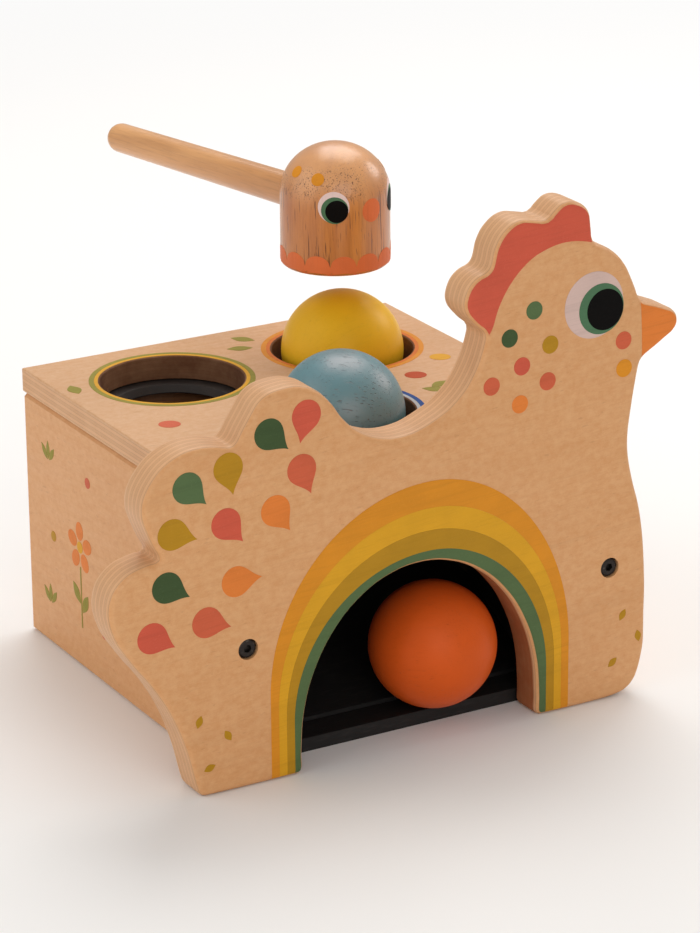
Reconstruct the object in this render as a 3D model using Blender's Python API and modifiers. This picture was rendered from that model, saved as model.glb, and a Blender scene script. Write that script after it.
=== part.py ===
"""Hammer-and-ball box: a plywood box behind a hen-shaped front, three balls and a small hammer.

Metres, +Z up. The origin is on the underside of the base board, at the middle of the box.
+X points to the hen's beak, -Y to the viewer, and the box lies behind the hen panel.
"""

import math

import bmesh
import bpy
from mathutils import Matrix, Vector

# Clearances
FIT_GAP = 0.0003          # between two faces that touch
PEG_CLEARANCE = 0.0003    # round a dowel or a screw in its hole

# Box, which sets the size of the holes, and so of the rings and the balls
BOX_WIDTH = 0.152
BOX_DEPTH = 0.148         # behind the hen panel
BOX_HEIGHT = 0.102
TOP_THICKNESS = 0.009
WALL_THICKNESS = 0.009
RING_BOARD_THICKNESS = 0.009
BOARD_EDGE = 0.0012       # rounding of the boards' outer edges

# Holes, rubber rings and balls
HOLE_SIDE_WEB = 0.006     # from an end wall to a hole of the back row
HOLE_MIDDLE_WEB = 0.018   # between the two holes of the back row
HOLE_BACK_WEB = 0.004     # from the back wall to a hole of the back row
ROW_SPACING = 0.061       # from the front hole to the back row
RING_SEAT = 0.0025        # width of the ring board's step under a ring
RING_THICKNESS = 0.003
RING_GRIP = 0.004         # ball's diameter over the ring's bore at half its thickness
BALL_CLEARANCE = 0.007    # hole's diameter over the ball's

# Base board, ball ramp and the blocks beside it
BASE_THICKNESS = 0.005
RAMP_THICKNESS = 0.006
BALL_STAND_GAP = 0.0006   # from the ramp's lip to a ball that stands on the base board
RAMP_LIP = 0.0015         # thickness left at the ramp's lip
RAMP_BACK_HEIGHT = 0.032  # top of the ramp at the back wall
BATTEN_DEPTH = 0.012
GUIDE_HEIGHT = 0.027
GUIDE_LENGTH_HEAD = 0.072
GUIDE_LENGTH_TAIL = 0.052
GUIDE_LEDGE = 0.002       # from the arch's edge to the guide

# Hen panel
OUTLINE_UNIT = 0.001      # one unit in the points of the hen's outline
PANEL_THICKNESS = 0.015
PANEL_EDGE = 0.0025       # rounding of the plywood's edges
ARCH_CENTRE = -0.0045     # the arch stands a little towards the tail
ARCH_HALF_WIDTH = 0.0465
ARCH_SPRING = 0.0095      # height where the half ellipse starts
ARCH_RISE = 0.0575
SADDLE_HEIGHT = 0.0117    # lowest point of the back above the top board

# Screws and dowels
SCREW_HEIGHT = 0.050
SCREW_HEAD_DIAMETER = 0.0068
SCREW_HEAD_DEPTH = 0.0034
SCREW_SINK = 0.0006       # head below the panel's front face
SCREW_SHANK_DIAMETER = 0.0036
SCREW_LENGTH = 0.040
SCREW_EDGE = 0.0005       # chamfer round the head
SOCKET_WIDTH = 0.0030     # across corners
SOCKET_DEPTH = 0.0016
DOWEL_DIAMETER = 0.005
DOWEL_CHAMFER = 0.0006
PANEL_DOWEL_FOOT = 0.020  # height of the lower dowels between panel and walls
PANEL_DOWEL_DROP = 0.024  # from the top of the box down to the upper ones
PANEL_DOWEL_IN_PANEL = 0.010
PANEL_DOWEL_IN_WALL = 0.014
BACK_DOWEL_FOOT = 0.022   # height of the lower dowels in the back wall's ends
BACK_DOWEL_DROP = 0.032   # from the top of the box down to the upper ones
BACK_DOWEL_IN_END = 0.006
BACK_DOWEL_IN_BACK = 0.012
TOP_DOWEL_INSET = 0.024   # from the box's front and back to the dowels in the walls' tops
TOP_DOWEL_IN_TOP = 0.006
TOP_DOWEL_IN_WALL = 0.012

# Loose orange ball
ORANGE_BALL_X = 0.0105
ORANGE_BALL_INSET = 0.0185  # from the panel's front face back to the ball's centre

# Hammer
HAMMER_LIFT = 0.0118      # from the yellow ball up to the head
HAMMER_SHIFT = -0.0025    # from the ball's axis to the head's axis
HEAD_RADIUS = 0.0200
HEAD_SHOULDER_HEIGHT = 0.026  # where the dome starts
HEAD_HEIGHT = 0.0445
HEAD_EDGE = 0.0015
HANDLE_HEIGHT = 0.0215    # above the head's flat face
HANDLE_ROOT_DIAMETER = 0.0125
HANDLE_END_DIAMETER = 0.0112
HANDLE_REACH = 0.130      # from the head's axis to the handle's end
HANDLE_INNER_END = 0.006  # from the head's axis to the handle's inner end
HANDLE_CHAMFER = 0.0008   # at the handle's inner end
HANDLE_TURN = math.radians(101.8)  # direction of the handle, from +X

# Facets
BALL_SEGMENTS = 32
HOLE_SIDES = 40
HEAD_SIDES = 32
HANDLE_SIDES = 20
SCREW_SIDES = 16
PEG_SIDES = 12
PANEL_CURVE_STEPS = 3

# Places worked out from the sizes above
half_width = BOX_WIDTH / 2
panel_back = -BOX_DEPTH / 2
panel_front = panel_back - PANEL_THICKNESS
box_front = panel_back + FIT_GAP
box_back = BOX_DEPTH / 2
inner_half_width = half_width - WALL_THICKNESS - FIT_GAP
inner_back = box_back - WALL_THICKNESS - FIT_GAP
wall_top = BOX_HEIGHT - TOP_THICKNESS - FIT_GAP
wall_middle_x = half_width - WALL_THICKNESS / 2
hole_radius = (half_width - WALL_THICKNESS - HOLE_SIDE_WEB - HOLE_MIDDLE_WEB / 2) / 2
ring_radius = hole_radius + RING_SEAT
ball_radius = hole_radius - BALL_CLEARANCE / 2
bore_radius = ball_radius - RING_GRIP / 2
back_row_x = HOLE_MIDDLE_WEB / 2 + hole_radius
back_row_y = box_back - WALL_THICKNESS - HOLE_BACK_WEB - hole_radius
head_hole = (back_row_x, back_row_y)
tail_hole = (-back_row_x, back_row_y)
front_hole = (0.0, back_row_y - ROW_SPACING)
ring_top = wall_top
ring_middle = ring_top - RING_THICKNESS / 2
seat_height = math.sqrt((ball_radius + FIT_GAP) ** 2 - bore_radius ** 2)
ball_height = ring_middle + seat_height
base_top = BASE_THICKNESS + FIT_GAP
orange_ball_y = panel_front + ORANGE_BALL_INSET
orange_ball_height = base_top + ball_radius
ramp_lip_height = base_top + RAMP_LIP
lip_reach = math.sqrt(ball_radius ** 2 - (orange_ball_height - ramp_lip_height) ** 2)
ramp_front = orange_ball_y + lip_reach + BALL_STAND_GAP
ramp_slope = (RAMP_BACK_HEIGHT - ramp_lip_height) / (inner_back - ramp_front)
ramp_drop = RAMP_THICKNESS * math.hypot(1.0, ramp_slope)


def clear_scene():
    """Remove every object, so that the script can be run again in an open file."""
    for item in list(bpy.data.objects):
        bpy.data.objects.remove(item, do_unlink=True)


def make_collection(name):
    """Return a new collection linked to the scene."""
    group = bpy.data.collections.new(name)
    bpy.context.scene.collection.children.link(group)
    return group


clear_scene()
parts = make_collection("hammer_ball_box")
cutters = make_collection("cutters")


def make_material(name, colour, roughness=0.5, metallic=0.0):
    """Return a Principled material of one colour."""
    material = bpy.data.materials.new(name)
    material.use_nodes = True
    shader = material.node_tree.nodes["Principled BSDF"]
    shader.inputs["Base Color"].default_value = (*colour, 1.0)
    shader.inputs["Roughness"].default_value = roughness
    shader.inputs["Metallic"].default_value = metallic
    material.diffuse_color = (*colour, 1.0)
    return material


plywood = make_material("birch_plywood", (0.74, 0.56, 0.36), 0.55)
hidden_wood = make_material("inner_plywood", (0.62, 0.46, 0.30), 0.65)
black_stain = make_material("black_stain", (0.02, 0.02, 0.02), 0.6)
peg_wood = make_material("beech_peg", (0.70, 0.50, 0.30), 0.6)
toasted_wood = make_material("toasted_wood", (0.50, 0.27, 0.11), 0.45)
handle_wood = make_material("handle_wood", (0.62, 0.38, 0.18), 0.45)
rubber = make_material("black_rubber", (0.03, 0.03, 0.03), 0.8)
dark_steel = make_material("dark_steel", (0.06, 0.06, 0.07), 0.4, 1.0)
yellow_paint = make_material("yellow_paint", (0.78, 0.52, 0.03), 0.35)
blue_paint = make_material("blue_paint", (0.33, 0.50, 0.62), 0.35)
orange_paint = make_material("orange_paint", (0.83, 0.22, 0.08), 0.35)


def add_empty(name, location, parent=None):
    """Return an empty that other pieces hang on."""
    empty = bpy.data.objects.new(name, None)
    empty.location = location
    empty.parent = parent
    parts.objects.link(empty)
    return empty


def add_piece(name, mesh, material, parent, location=(0.0, 0.0, 0.0)):
    """Return a named sub-part with its material, round faces shaded smooth."""
    mesh.materials.clear()
    mesh.materials.append(material)
    mesh.shade_smooth()
    mesh.set_sharp_from_angle(angle=math.radians(35))
    piece = bpy.data.objects.new(name, mesh)
    piece.parent = parent
    piece.location = location
    parts.objects.link(piece)
    return piece


def add_cutter(name, mesh):
    """Return an object that only cuts others."""
    cutter = bpy.data.objects.new(name, mesh)
    cutter.hide_render = True
    cutter.display_type = "WIRE"
    cutters.objects.link(cutter)
    return cutter


def cut(piece, cutter):
    """Take the cutter's space out of the piece."""
    boolean = piece.modifiers.new("cut_" + cutter.name, "BOOLEAN")
    boolean.operation = "DIFFERENCE"
    boolean.solver = "EXACT"
    boolean.object = cutter


def round_edges(piece, width, segments=1):
    """Round the edges that are sharper than 40 degrees."""
    bevel = piece.modifiers.new("edges", "BEVEL")
    bevel.width = width
    bevel.segments = segments
    bevel.limit_method = "ANGLE"
    bevel.angle_limit = math.radians(40)


def mesh_from(build):
    """Return a mesh filled by build(bm)."""
    bm = bmesh.new()
    build(bm)
    bmesh.ops.recalc_face_normals(bm, faces=bm.faces)
    mesh = bpy.data.meshes.new("shape")
    bm.to_mesh(mesh)
    bm.free()
    return mesh


def add_rod(bm, radius, start, end, sides=PEG_SIDES, chamfer=0.0):
    """Add a closed cylinder from start to end, with chamfered ends if asked."""
    start = Vector(start)
    end = Vector(end)
    turn = (end - start).to_track_quat("Z", "Y").to_matrix().to_4x4()
    place = Matrix.Translation((start + end) / 2) @ turn
    made = bmesh.ops.create_cone(
        bm, cap_ends=True, segments=sides, radius1=radius, radius2=radius,
        depth=(end - start).length, matrix=place)
    if chamfer:
        rims = set()
        for vert in made["verts"]:
            rims.update(edge for edge in vert.link_edges if len(edge.link_faces) == 2
                        and edge.calc_face_angle() > math.radians(80))
        bmesh.ops.bevel(bm, geom=list(rims), offset=chamfer, segments=1, affect="EDGES")


def board(name, low, high, material, parent, edge=0.0):
    """Return a flat board between two corners."""
    low = Vector(low)
    high = Vector(high)

    def build(bm):
        bmesh.ops.create_cube(bm, size=1.0)
        bmesh.ops.scale(bm, vec=high - low, verts=bm.verts)

    piece = add_piece(name, mesh_from(build), material, parent, (low + high) / 2)
    if edge:
        round_edges(piece, edge)
    return piece


def turned(name, profile, material, parent, location, steps):
    """Return a profile of (radius, height) points turned about Z, top to bottom."""
    mesh = bpy.data.meshes.new(name)
    count = len(profile)
    closed = profile[0][0] > 0
    edges = [(i, i + 1) for i in range(count - 1)]
    if closed:
        edges.append((count - 1, 0))
    mesh.from_pydata([(radius, 0.0, height) for radius, height in profile], edges, [])
    piece = add_piece(name, mesh, material, parent, location)
    screw = piece.modifiers.new("turn", "SCREW")
    screw.axis = "Z"
    screw.steps = steps
    screw.render_steps = steps
    screw.use_merge_vertices = True
    screw.merge_threshold = 0.00001
    screw.use_smooth_shade = True
    return piece


def extruded_mesh(points, width, resolution=1):
    """Return a flat outline in XY, thickened by width about Z. Points are (x, y, is_corner)."""
    curve = bpy.data.curves.new("outline", "CURVE")
    curve.dimensions = "2D"
    curve.fill_mode = "BOTH"
    curve.extrude = width / 2
    curve.resolution_u = resolution
    spline = curve.splines.new("BEZIER")
    spline.use_cyclic_u = True
    spline.bezier_points.add(len(points) - 1)
    for knot, (x, y, is_corner) in zip(spline.bezier_points, points):
        knot.co = (x, y, 0.0)
        knot.handle_left_type = "VECTOR" if is_corner else "AUTO"
        knot.handle_right_type = knot.handle_left_type
    holder = bpy.data.objects.new("outline", curve)
    cutters.objects.link(holder)
    bpy.context.view_layer.update()
    mesh = bpy.data.meshes.new_from_object(
        holder.evaluated_get(bpy.context.evaluated_depsgraph_get()))
    bpy.data.objects.remove(holder, do_unlink=True)
    bm = bmesh.new()
    bm.from_mesh(mesh)
    bmesh.ops.remove_doubles(bm, verts=bm.verts, dist=0.00001)
    bmesh.ops.dissolve_limit(
        bm, angle_limit=math.radians(0.5), verts=bm.verts, edges=bm.edges)
    bmesh.ops.recalc_face_normals(bm, faces=bm.faces)
    bm.to_mesh(mesh)
    bm.free()
    return mesh


def side_profile(name, points, half_length, material, parent):
    """Return a piece whose outline in Y and Z is drawn, and which runs along X."""
    mesh = extruded_mesh([(y, z, True) for y, z in points], 2 * half_length)
    piece = add_piece(name, mesh, material, parent)
    piece.rotation_euler = (math.radians(90), 0.0, math.radians(90))
    return piece


toy = add_empty("toy_box", (0.0, 0.0, 0.0))


def ramp_height(y):
    """Return the height of the ramp's top face at y."""
    return ramp_lip_height + ramp_slope * (y - ramp_front)


# Dowels and screws, and the holes that take them

def dowel_spans():
    """Return the name, start and end of every dowel."""
    panel_levels = (("low", PANEL_DOWEL_FOOT), ("high", BOX_HEIGHT - PANEL_DOWEL_DROP))
    back_levels = (("low", BACK_DOWEL_FOOT), ("high", BOX_HEIGHT - BACK_DOWEL_DROP))
    top_reach = box_back - TOP_DOWEL_INSET
    spans = []
    for side, end_name in ((1, "head"), (-1, "tail")):
        x = side * wall_middle_x
        for level, z in panel_levels:
            spans.append((f"panel_dowel_{end_name}_{level}",
                          Vector((x, panel_back - PANEL_DOWEL_IN_PANEL, z)),
                          Vector((x, box_front + PANEL_DOWEL_IN_WALL, z))))
        y = box_back - WALL_THICKNESS / 2
        for level, z in back_levels:
            wall_end = half_width - WALL_THICKNESS + BACK_DOWEL_IN_END
            spans.append((f"back_dowel_{end_name}_{level}",
                          Vector((side * wall_end, y, z)),
                          Vector((side * (inner_half_width - BACK_DOWEL_IN_BACK), y, z))))
        for y, place in ((-top_reach, "front"), (top_reach, "back")):
            spans.append((f"top_dowel_{end_name}_{place}",
                          Vector((x, y, wall_top - TOP_DOWEL_IN_WALL)),
                          Vector((x, y, wall_top + FIT_GAP + TOP_DOWEL_IN_TOP))))
    return spans


def make_dowels():
    """Build the dowels, and return the cutter for all their holes."""
    spans = dowel_spans()
    for name, start, end in spans:
        def build(bm, start=start, end=end):
            add_rod(bm, DOWEL_DIAMETER / 2, start, end, chamfer=DOWEL_CHAMFER)
        add_piece(name, mesh_from(build), peg_wood, toy)

    def build_holes(bm):
        for name, start, end in spans:
            extra = (end - start).normalized() * PEG_CLEARANCE
            add_rod(bm, DOWEL_DIAMETER / 2 + PEG_CLEARANCE, start - extra, end + extra)
    return add_cutter("dowel_holes", mesh_from(build_holes))


def make_screws():
    """Build the two socket screws, and return the cutter for their holes."""
    head = SCREW_HEAD_DIAMETER / 2
    shank = SCREW_SHANK_DIAMETER / 2
    tip = 2 * shank
    profile = [
        (0.0, 0.0), (head - SCREW_EDGE, 0.0), (head, -SCREW_EDGE), (head, -SCREW_HEAD_DEPTH / 2),
        (shank, -SCREW_HEAD_DEPTH), (shank, tip - SCREW_LENGTH), (0.0, -SCREW_LENGTH)]
    face = panel_front + SCREW_SINK
    for side, end in ((1, "head_end"), (-1, "tail_end")):
        screw = turned("panel_screw_" + end, profile, dark_steel, toy,
                       (side * wall_middle_x, face, SCREW_HEIGHT), SCREW_SIDES)
        screw.rotation_euler = (math.radians(90), 0.0, 0.0)

        def build_socket(bm, x=side * wall_middle_x):
            add_rod(bm, SOCKET_WIDTH / 2, (x, panel_front, SCREW_HEIGHT),
                    (x, face + SOCKET_DEPTH, SCREW_HEIGHT), 6)
        cut(screw, add_cutter("socket_" + end, mesh_from(build_socket)))

    def build_holes(bm):
        for side in (-1, 1):
            x = side * wall_middle_x
            shoulder = face + SCREW_HEAD_DEPTH + PEG_CLEARANCE
            add_rod(bm, head + PEG_CLEARANCE, (x, panel_front - SCREW_SINK, SCREW_HEIGHT),
                    (x, shoulder, SCREW_HEIGHT), SCREW_SIDES)

    def build_shanks(bm):
        for side in (-1, 1):
            x = side * wall_middle_x
            add_rod(bm, shank + PEG_CLEARANCE, (x, face, SCREW_HEIGHT),
                    (x, face + SCREW_LENGTH + PEG_CLEARANCE, SCREW_HEIGHT), SCREW_SIDES)
    return (add_cutter("screw_head_holes", mesh_from(build_holes)),
            add_cutter("screw_shank_holes", mesh_from(build_shanks)))


# Hen panel

def arch_points():
    """Return the arch's outline, from its tail-side foot over to its head-side foot."""
    steps = 12
    points = [(ARCH_CENTRE - ARCH_HALF_WIDTH, 0.0, True)]
    for i in range(steps + 1):
        angle = math.pi * (1 - i / steps)
        points.append((ARCH_CENTRE + ARCH_HALF_WIDTH * math.cos(angle),
                       ARCH_SPRING + ARCH_RISE * math.sin(angle), False))
    points.append((ARCH_CENTRE + ARCH_HALF_WIDTH, 0.0, True))
    return points


def hen_outline():
    """Return the hen's outline as (x, z, is_corner), from the arch's head-side foot round.

    Chest and beak are placed from the box's head end, the tail from its tail end,
    and the heights from the top board. The points are written in outline units.
    """
    head = half_width / OUTLINE_UNIT
    tail = -head
    top = BOX_HEIGHT / OUTLINE_UNIT
    saddle = top + SADDLE_HEIGHT / OUTLINE_UNIT
    chest = [
        (head - 6.0, 0.0, True), (head + 5.0, 2.5, False),
        (head + 10.0, 12.0, False), (head + 11.2, 30.0, False),
        (head + 10.8, 50.0, False), (head + 8.5, 68.5, False),
        (head + 4.4, 84.0, False), (head + 2.9, 94.5, False),
        (head + 4.2, top + 6.0, False), (head + 7.2, top + 22.5, True)]
    beak = [
        (head + 17.0, top + 28.2, False), (head + 21.4, top + 31.4, False),
        (head + 22.4, top + 34.6, False), (head + 20.9, top + 37.7, False),
        (head + 16.8, top + 39.9, False), (head + 6.6, top + 43.7, True)]
    forehead = [
        (head + 3.8, top + 50.8, False), (head - 0.8, top + 59.2, False),
        (head - 6.5, top + 64.3, False), (head - 13.1, top + 67.4, True)]
    comb = [
        (head - 13.7, top + 73.5, False), (head - 15.0, top + 79.0, False),
        (head - 19.4, top + 82.4, False), (head - 24.5, top + 83.1, False),
        (head - 28.4, top + 80.8, False), (head - 31.5, top + 77.6, True),
        (head - 36.8, top + 78.9, False), (head - 42.5, top + 79.5, False),
        (head - 47.7, top + 76.9, False), (head - 51.4, top + 72.0, False),
        (head - 52.9, top + 67.0, False), (head - 53.6, top + 63.8, True),
        (head - 59.9, top + 61.2, False), (head - 63.2, top + 56.5, False),
        (head - 63.6, top + 51.8, False), (head - 60.5, top + 47.0, False),
        (head - 54.8, top + 41.9, True)]
    back = [
        (head - 58.7, top + 30.4, False), (head - 65.8, top + 20.8, False),
        (-0.5, saddle + 2.7, False), (-10.6, saddle, False),
        (-22.0, saddle + 1.5, False), (-31.0, saddle + 6.9, False)]
    tail_feathers = [
        (tail + 34.2, top + 31.7, False), (tail + 27.0, top + 35.8, False),
        (tail + 19.0, top + 36.4, False), (tail + 11.5, top + 34.2, False),
        (tail + 6.5, top + 28.0, False), (tail + 1.0, top + 19.2, True),
        (tail - 10.0, top + 21.5, False), (tail - 21.0, top + 19.5, False),
        (tail - 29.6, top + 12.4, False), (tail - 33.0, top + 4.0, False),
        (tail - 30.7, top - 5.5, False), (tail - 26.2, top - 14.8, True),
        (tail - 33.0, top - 15.5, False), (tail - 40.5, top - 18.5, False),
        (tail - 45.3, top - 25.2, False), (tail - 44.9, top - 36.0, False),
        (tail - 38.2, 53.7, False), (tail - 30.6, 43.2, False),
        (tail - 23.7, 31.0, False), (tail - 18.5, 17.0, False),
        (tail - 15.5, 5.0, False), (tail - 14.0, 0.0, True)]
    drawn = chest + beak + forehead + comb + back + tail_feathers
    outline = [(x * OUTLINE_UNIT, z * OUTLINE_UNIT, is_corner) for x, z, is_corner in drawn]
    return outline + arch_points()


def make_hen_panel(*holes):
    """Build the hen-shaped front with its arch, and the holes behind it."""
    mesh = extruded_mesh(hen_outline(), PANEL_THICKNESS, PANEL_CURVE_STEPS)
    panel = add_piece("hen_panel", mesh, plywood, toy,
                      (0.0, panel_back - PANEL_THICKNESS / 2, 0.0))
    panel.rotation_euler = (math.radians(90), 0.0, 0.0)
    round_edges(panel, PANEL_EDGE, 2)
    for cutter in holes:
        cut(panel, cutter)


# Box

def make_box(dowel_cutter, shank_cutter):
    """Build the five plywood boards and the ring board."""
    for side, name in ((1, "head_end_wall"), (-1, "tail_end_wall")):
        inner = side * (half_width - WALL_THICKNESS)
        outer = side * half_width
        wall = board(name, (min(inner, outer), box_front, 0.0),
                     (max(inner, outer), box_back, wall_top), plywood, toy, BOARD_EDGE)
        cut(wall, dowel_cutter)
        cut(wall, shank_cutter)
    back_wall = board("back_wall", (-inner_half_width, box_back - WALL_THICKNESS, 0.0),
                      (inner_half_width, box_back, wall_top), plywood, toy)
    cut(back_wall, dowel_cutter)
    top_board = board("top_board", (-half_width, box_front, BOX_HEIGHT - TOP_THICKNESS),
                      (half_width, box_back, BOX_HEIGHT), plywood, toy, BOARD_EDGE)
    ring_board = board("ring_board",
                       (-inner_half_width, box_front, wall_top - RING_BOARD_THICKNESS),
                       (inner_half_width, inner_back, wall_top), hidden_wood, toy)

    def build_ball_holes(bm):
        for x, y in (head_hole, tail_hole, front_hole):
            add_rod(bm, hole_radius, (x, y, wall_top - 2 * RING_BOARD_THICKNESS),
                    (x, y, BOX_HEIGHT + TOP_THICKNESS), HOLE_SIDES)

    def build_ring_seats(bm):
        for x, y in (head_hole, tail_hole, front_hole):
            add_rod(bm, ring_radius + FIT_GAP,
                    (x, y, ring_top - RING_THICKNESS - FIT_GAP),
                    (x, y, ring_top + FIT_GAP), HOLE_SIDES)

    ball_holes = add_cutter("ball_holes", mesh_from(build_ball_holes))
    ring_seats = add_cutter("ring_seats", mesh_from(build_ring_seats))
    cut(top_board, ball_holes)
    cut(top_board, dowel_cutter)
    cut(ring_board, ball_holes)
    cut(ring_board, ring_seats)


def make_rings():
    """Build the three rubber rings, each with a cone that the ball sits against."""
    half = RING_THICKNESS / 2
    lean = half * seat_height / bore_radius
    profile = [(bore_radius + lean, half), (ring_radius, half),
               (ring_radius, -half), (bore_radius - lean, -half)]
    for name, (x, y) in (("ring_head_side", head_hole), ("ring_tail_side", tail_hole),
                         ("ring_front", front_hole)):
        turned(name, profile, rubber, toy, (x, y, ring_middle), HOLE_SIDES)


def make_chute():
    """Build the base board, the ball ramp, its batten and the guides beside the arch."""
    board("base_board", (-inner_half_width, box_front, 0.0),
          (inner_half_width, inner_back, BASE_THICKNESS), black_stain, toy)
    foot_y = ramp_front + (base_top + ramp_drop - ramp_lip_height) / ramp_slope
    side_profile("ball_ramp", [
        (ramp_front, base_top), (foot_y, base_top),
        (inner_back, RAMP_BACK_HEIGHT - ramp_drop), (inner_back, RAMP_BACK_HEIGHT),
        (ramp_front, ramp_lip_height)], inner_half_width, black_stain, toy)
    batten_front = inner_back - BATTEN_DEPTH
    side_profile("ramp_batten", [
        (batten_front, base_top), (inner_back, base_top),
        (inner_back, ramp_height(inner_back) - ramp_drop - FIT_GAP),
        (batten_front, ramp_height(batten_front) - ramp_drop - FIT_GAP)],
        inner_half_width, hidden_wood, toy)
    for side, name, length in ((1, "guide_head_side", GUIDE_LENGTH_HEAD),
                               (-1, "guide_tail_side", GUIDE_LENGTH_TAIL)):
        arch_edge = ARCH_CENTRE + side * (ARCH_HALF_WIDTH + GUIDE_LEDGE)
        wall_x = side * inner_half_width
        corners = [(arch_edge, box_front), (wall_x, box_front), (wall_x, box_front + length)]
        mesh = extruded_mesh([(x, y, True) for x, y in corners], GUIDE_HEIGHT)
        foot = ramp_height(box_front + length) + FIT_GAP
        add_piece(name, mesh, black_stain, toy, (0.0, 0.0, foot + GUIDE_HEIGHT / 2))


# Balls and hammer

def make_ball(name, material, x, y, z):
    """Build one ball, with its origin at its centre."""
    def build(bm):
        bmesh.ops.create_uvsphere(
            bm, u_segments=BALL_SEGMENTS, v_segments=BALL_SEGMENTS // 2, radius=ball_radius)
    return add_piece(name, mesh_from(build), material, None, (x, y, z))


def make_hammer():
    """Build the hammer above the yellow ball, its origin on the head's axis."""
    base = ball_height + ball_radius + HAMMER_LIFT
    hammer = add_empty("hammer", (head_hole[0] + HAMMER_SHIFT, head_hole[1], base))
    dome_steps = 8
    edge_steps = 2
    dome = HEAD_HEIGHT - HEAD_SHOULDER_HEIGHT
    profile = []
    for i in range(dome_steps + 1):
        angle = math.pi / 2 * (1 - i / dome_steps)
        profile.append((HEAD_RADIUS * math.cos(angle) if i else 0.0,
                        HEAD_SHOULDER_HEIGHT + dome * math.sin(angle)))
    for i in range(edge_steps + 1):
        angle = math.pi / 2 * i / edge_steps
        profile.append((HEAD_RADIUS - HEAD_EDGE * (1 - math.cos(angle)),
                        HEAD_EDGE * (1 - math.sin(angle))))
    profile.append((0.0, 0.0))
    head = turned("hammer_head", profile, toasted_wood, hammer, (0.0, 0.0, 0.0), HEAD_SIDES)

    root = HANDLE_ROOT_DIAMETER / 2
    end = HANDLE_END_DIAMETER / 2
    shoulder = HANDLE_REACH - end
    outline = []
    end_steps = 5
    for i in range(end_steps + 1):
        angle = math.pi / 2 * (1 - i / end_steps)
        outline.append((end * math.cos(angle) if i else 0.0, shoulder + end * math.sin(angle)))
    outline += [(root, HEAD_RADIUS), (root, HANDLE_INNER_END + HANDLE_CHAMFER),
                (root - HANDLE_CHAMFER, HANDLE_INNER_END), (0.0, HANDLE_INNER_END)]
    handle = turned("hammer_handle", outline, handle_wood, hammer,
                    (0.0, 0.0, HANDLE_HEIGHT), HANDLE_SIDES)
    handle.rotation_euler = (0.0, math.radians(90), HANDLE_TURN)

    direction = Vector((math.cos(HANDLE_TURN), math.sin(HANDLE_TURN), 0.0))
    level = hammer.location + Vector((0.0, 0.0, HANDLE_HEIGHT))

    def build_bore(bm):
        add_rod(bm, root + PEG_CLEARANCE, level + direction * (HANDLE_INNER_END - FIT_GAP),
                level + direction * 2 * HEAD_RADIUS, HANDLE_SIDES)
    cut(head, add_cutter("handle_bore", mesh_from(build_bore)))


dowel_holes = make_dowels()
screw_head_holes, screw_shank_holes = make_screws()
make_hen_panel(dowel_holes, screw_head_holes, screw_shank_holes)
make_box(dowel_holes, screw_shank_holes)
make_rings()
make_chute()
make_ball("yellow_ball", yellow_paint, head_hole[0], head_hole[1], ball_height)
make_ball("blue_ball", blue_paint, front_hole[0], front_hole[1], ball_height)
make_ball("orange_ball", orange_paint, ORANGE_BALL_X, orange_ball_y, orange_ball_height)
make_hammer()
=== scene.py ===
"""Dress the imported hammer-and-ball box: finer wood, printed marks, paint, studio and camera.

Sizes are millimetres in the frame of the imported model, with +Z up, +X towards the hen's beak
and -Y towards the viewer. They become metres where a mesh is made. Patterns are given in
repeats per metre, turns in degrees and colours as sRGB values from 0 to 255, unless a
docstring says otherwise.
"""

import logging
import math
from dataclasses import dataclass, field
from enum import Enum
from typing import Any, Optional, Sequence

import bmesh
import bpy
import numpy as np
from mathutils import Matrix, Vector
from mathutils.geometry import tessellate_polygon


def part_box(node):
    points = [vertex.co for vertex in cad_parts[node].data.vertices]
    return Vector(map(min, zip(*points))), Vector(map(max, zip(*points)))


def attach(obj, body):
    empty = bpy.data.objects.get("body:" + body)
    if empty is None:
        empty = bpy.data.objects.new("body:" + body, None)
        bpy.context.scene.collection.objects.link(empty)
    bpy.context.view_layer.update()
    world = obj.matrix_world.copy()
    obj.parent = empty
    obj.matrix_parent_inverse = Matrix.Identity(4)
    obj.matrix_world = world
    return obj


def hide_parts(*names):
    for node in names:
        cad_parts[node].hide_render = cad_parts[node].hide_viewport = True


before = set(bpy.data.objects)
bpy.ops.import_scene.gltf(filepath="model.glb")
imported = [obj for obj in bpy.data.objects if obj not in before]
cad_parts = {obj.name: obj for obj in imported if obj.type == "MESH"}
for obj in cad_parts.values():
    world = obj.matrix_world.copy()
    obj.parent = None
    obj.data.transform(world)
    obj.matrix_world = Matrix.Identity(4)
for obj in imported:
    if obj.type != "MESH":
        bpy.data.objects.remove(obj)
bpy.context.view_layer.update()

Colour = tuple[float, float, float]
Turn = tuple[float, float, float]
Point = tuple[float, float]
Loop = list[Point]

MM = 0.001
UNTURNED: Turn = (0.0, 0.0, 0.0)
# Edges that turn by less are shaded smooth
SMOOTH_BELOW = math.radians(35)
# Points on a large circle
ROUND = 96
# Height of a printed mark over the wood, its depth in the wood and the bevel of its edge
PROUD = 0.10
SUNK = 0.25
CHAMFER = 0.03
log = logging.getLogger("toy_box")


class Body(Enum):
    """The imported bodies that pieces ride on."""

    BOX = "toy_box"
    YELLOW_BALL = "yellow_ball"
    BLUE_BALL = "blue_ball"
    ORANGE_BALL = "orange_ball"
    HAMMER = "hammer"


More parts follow.
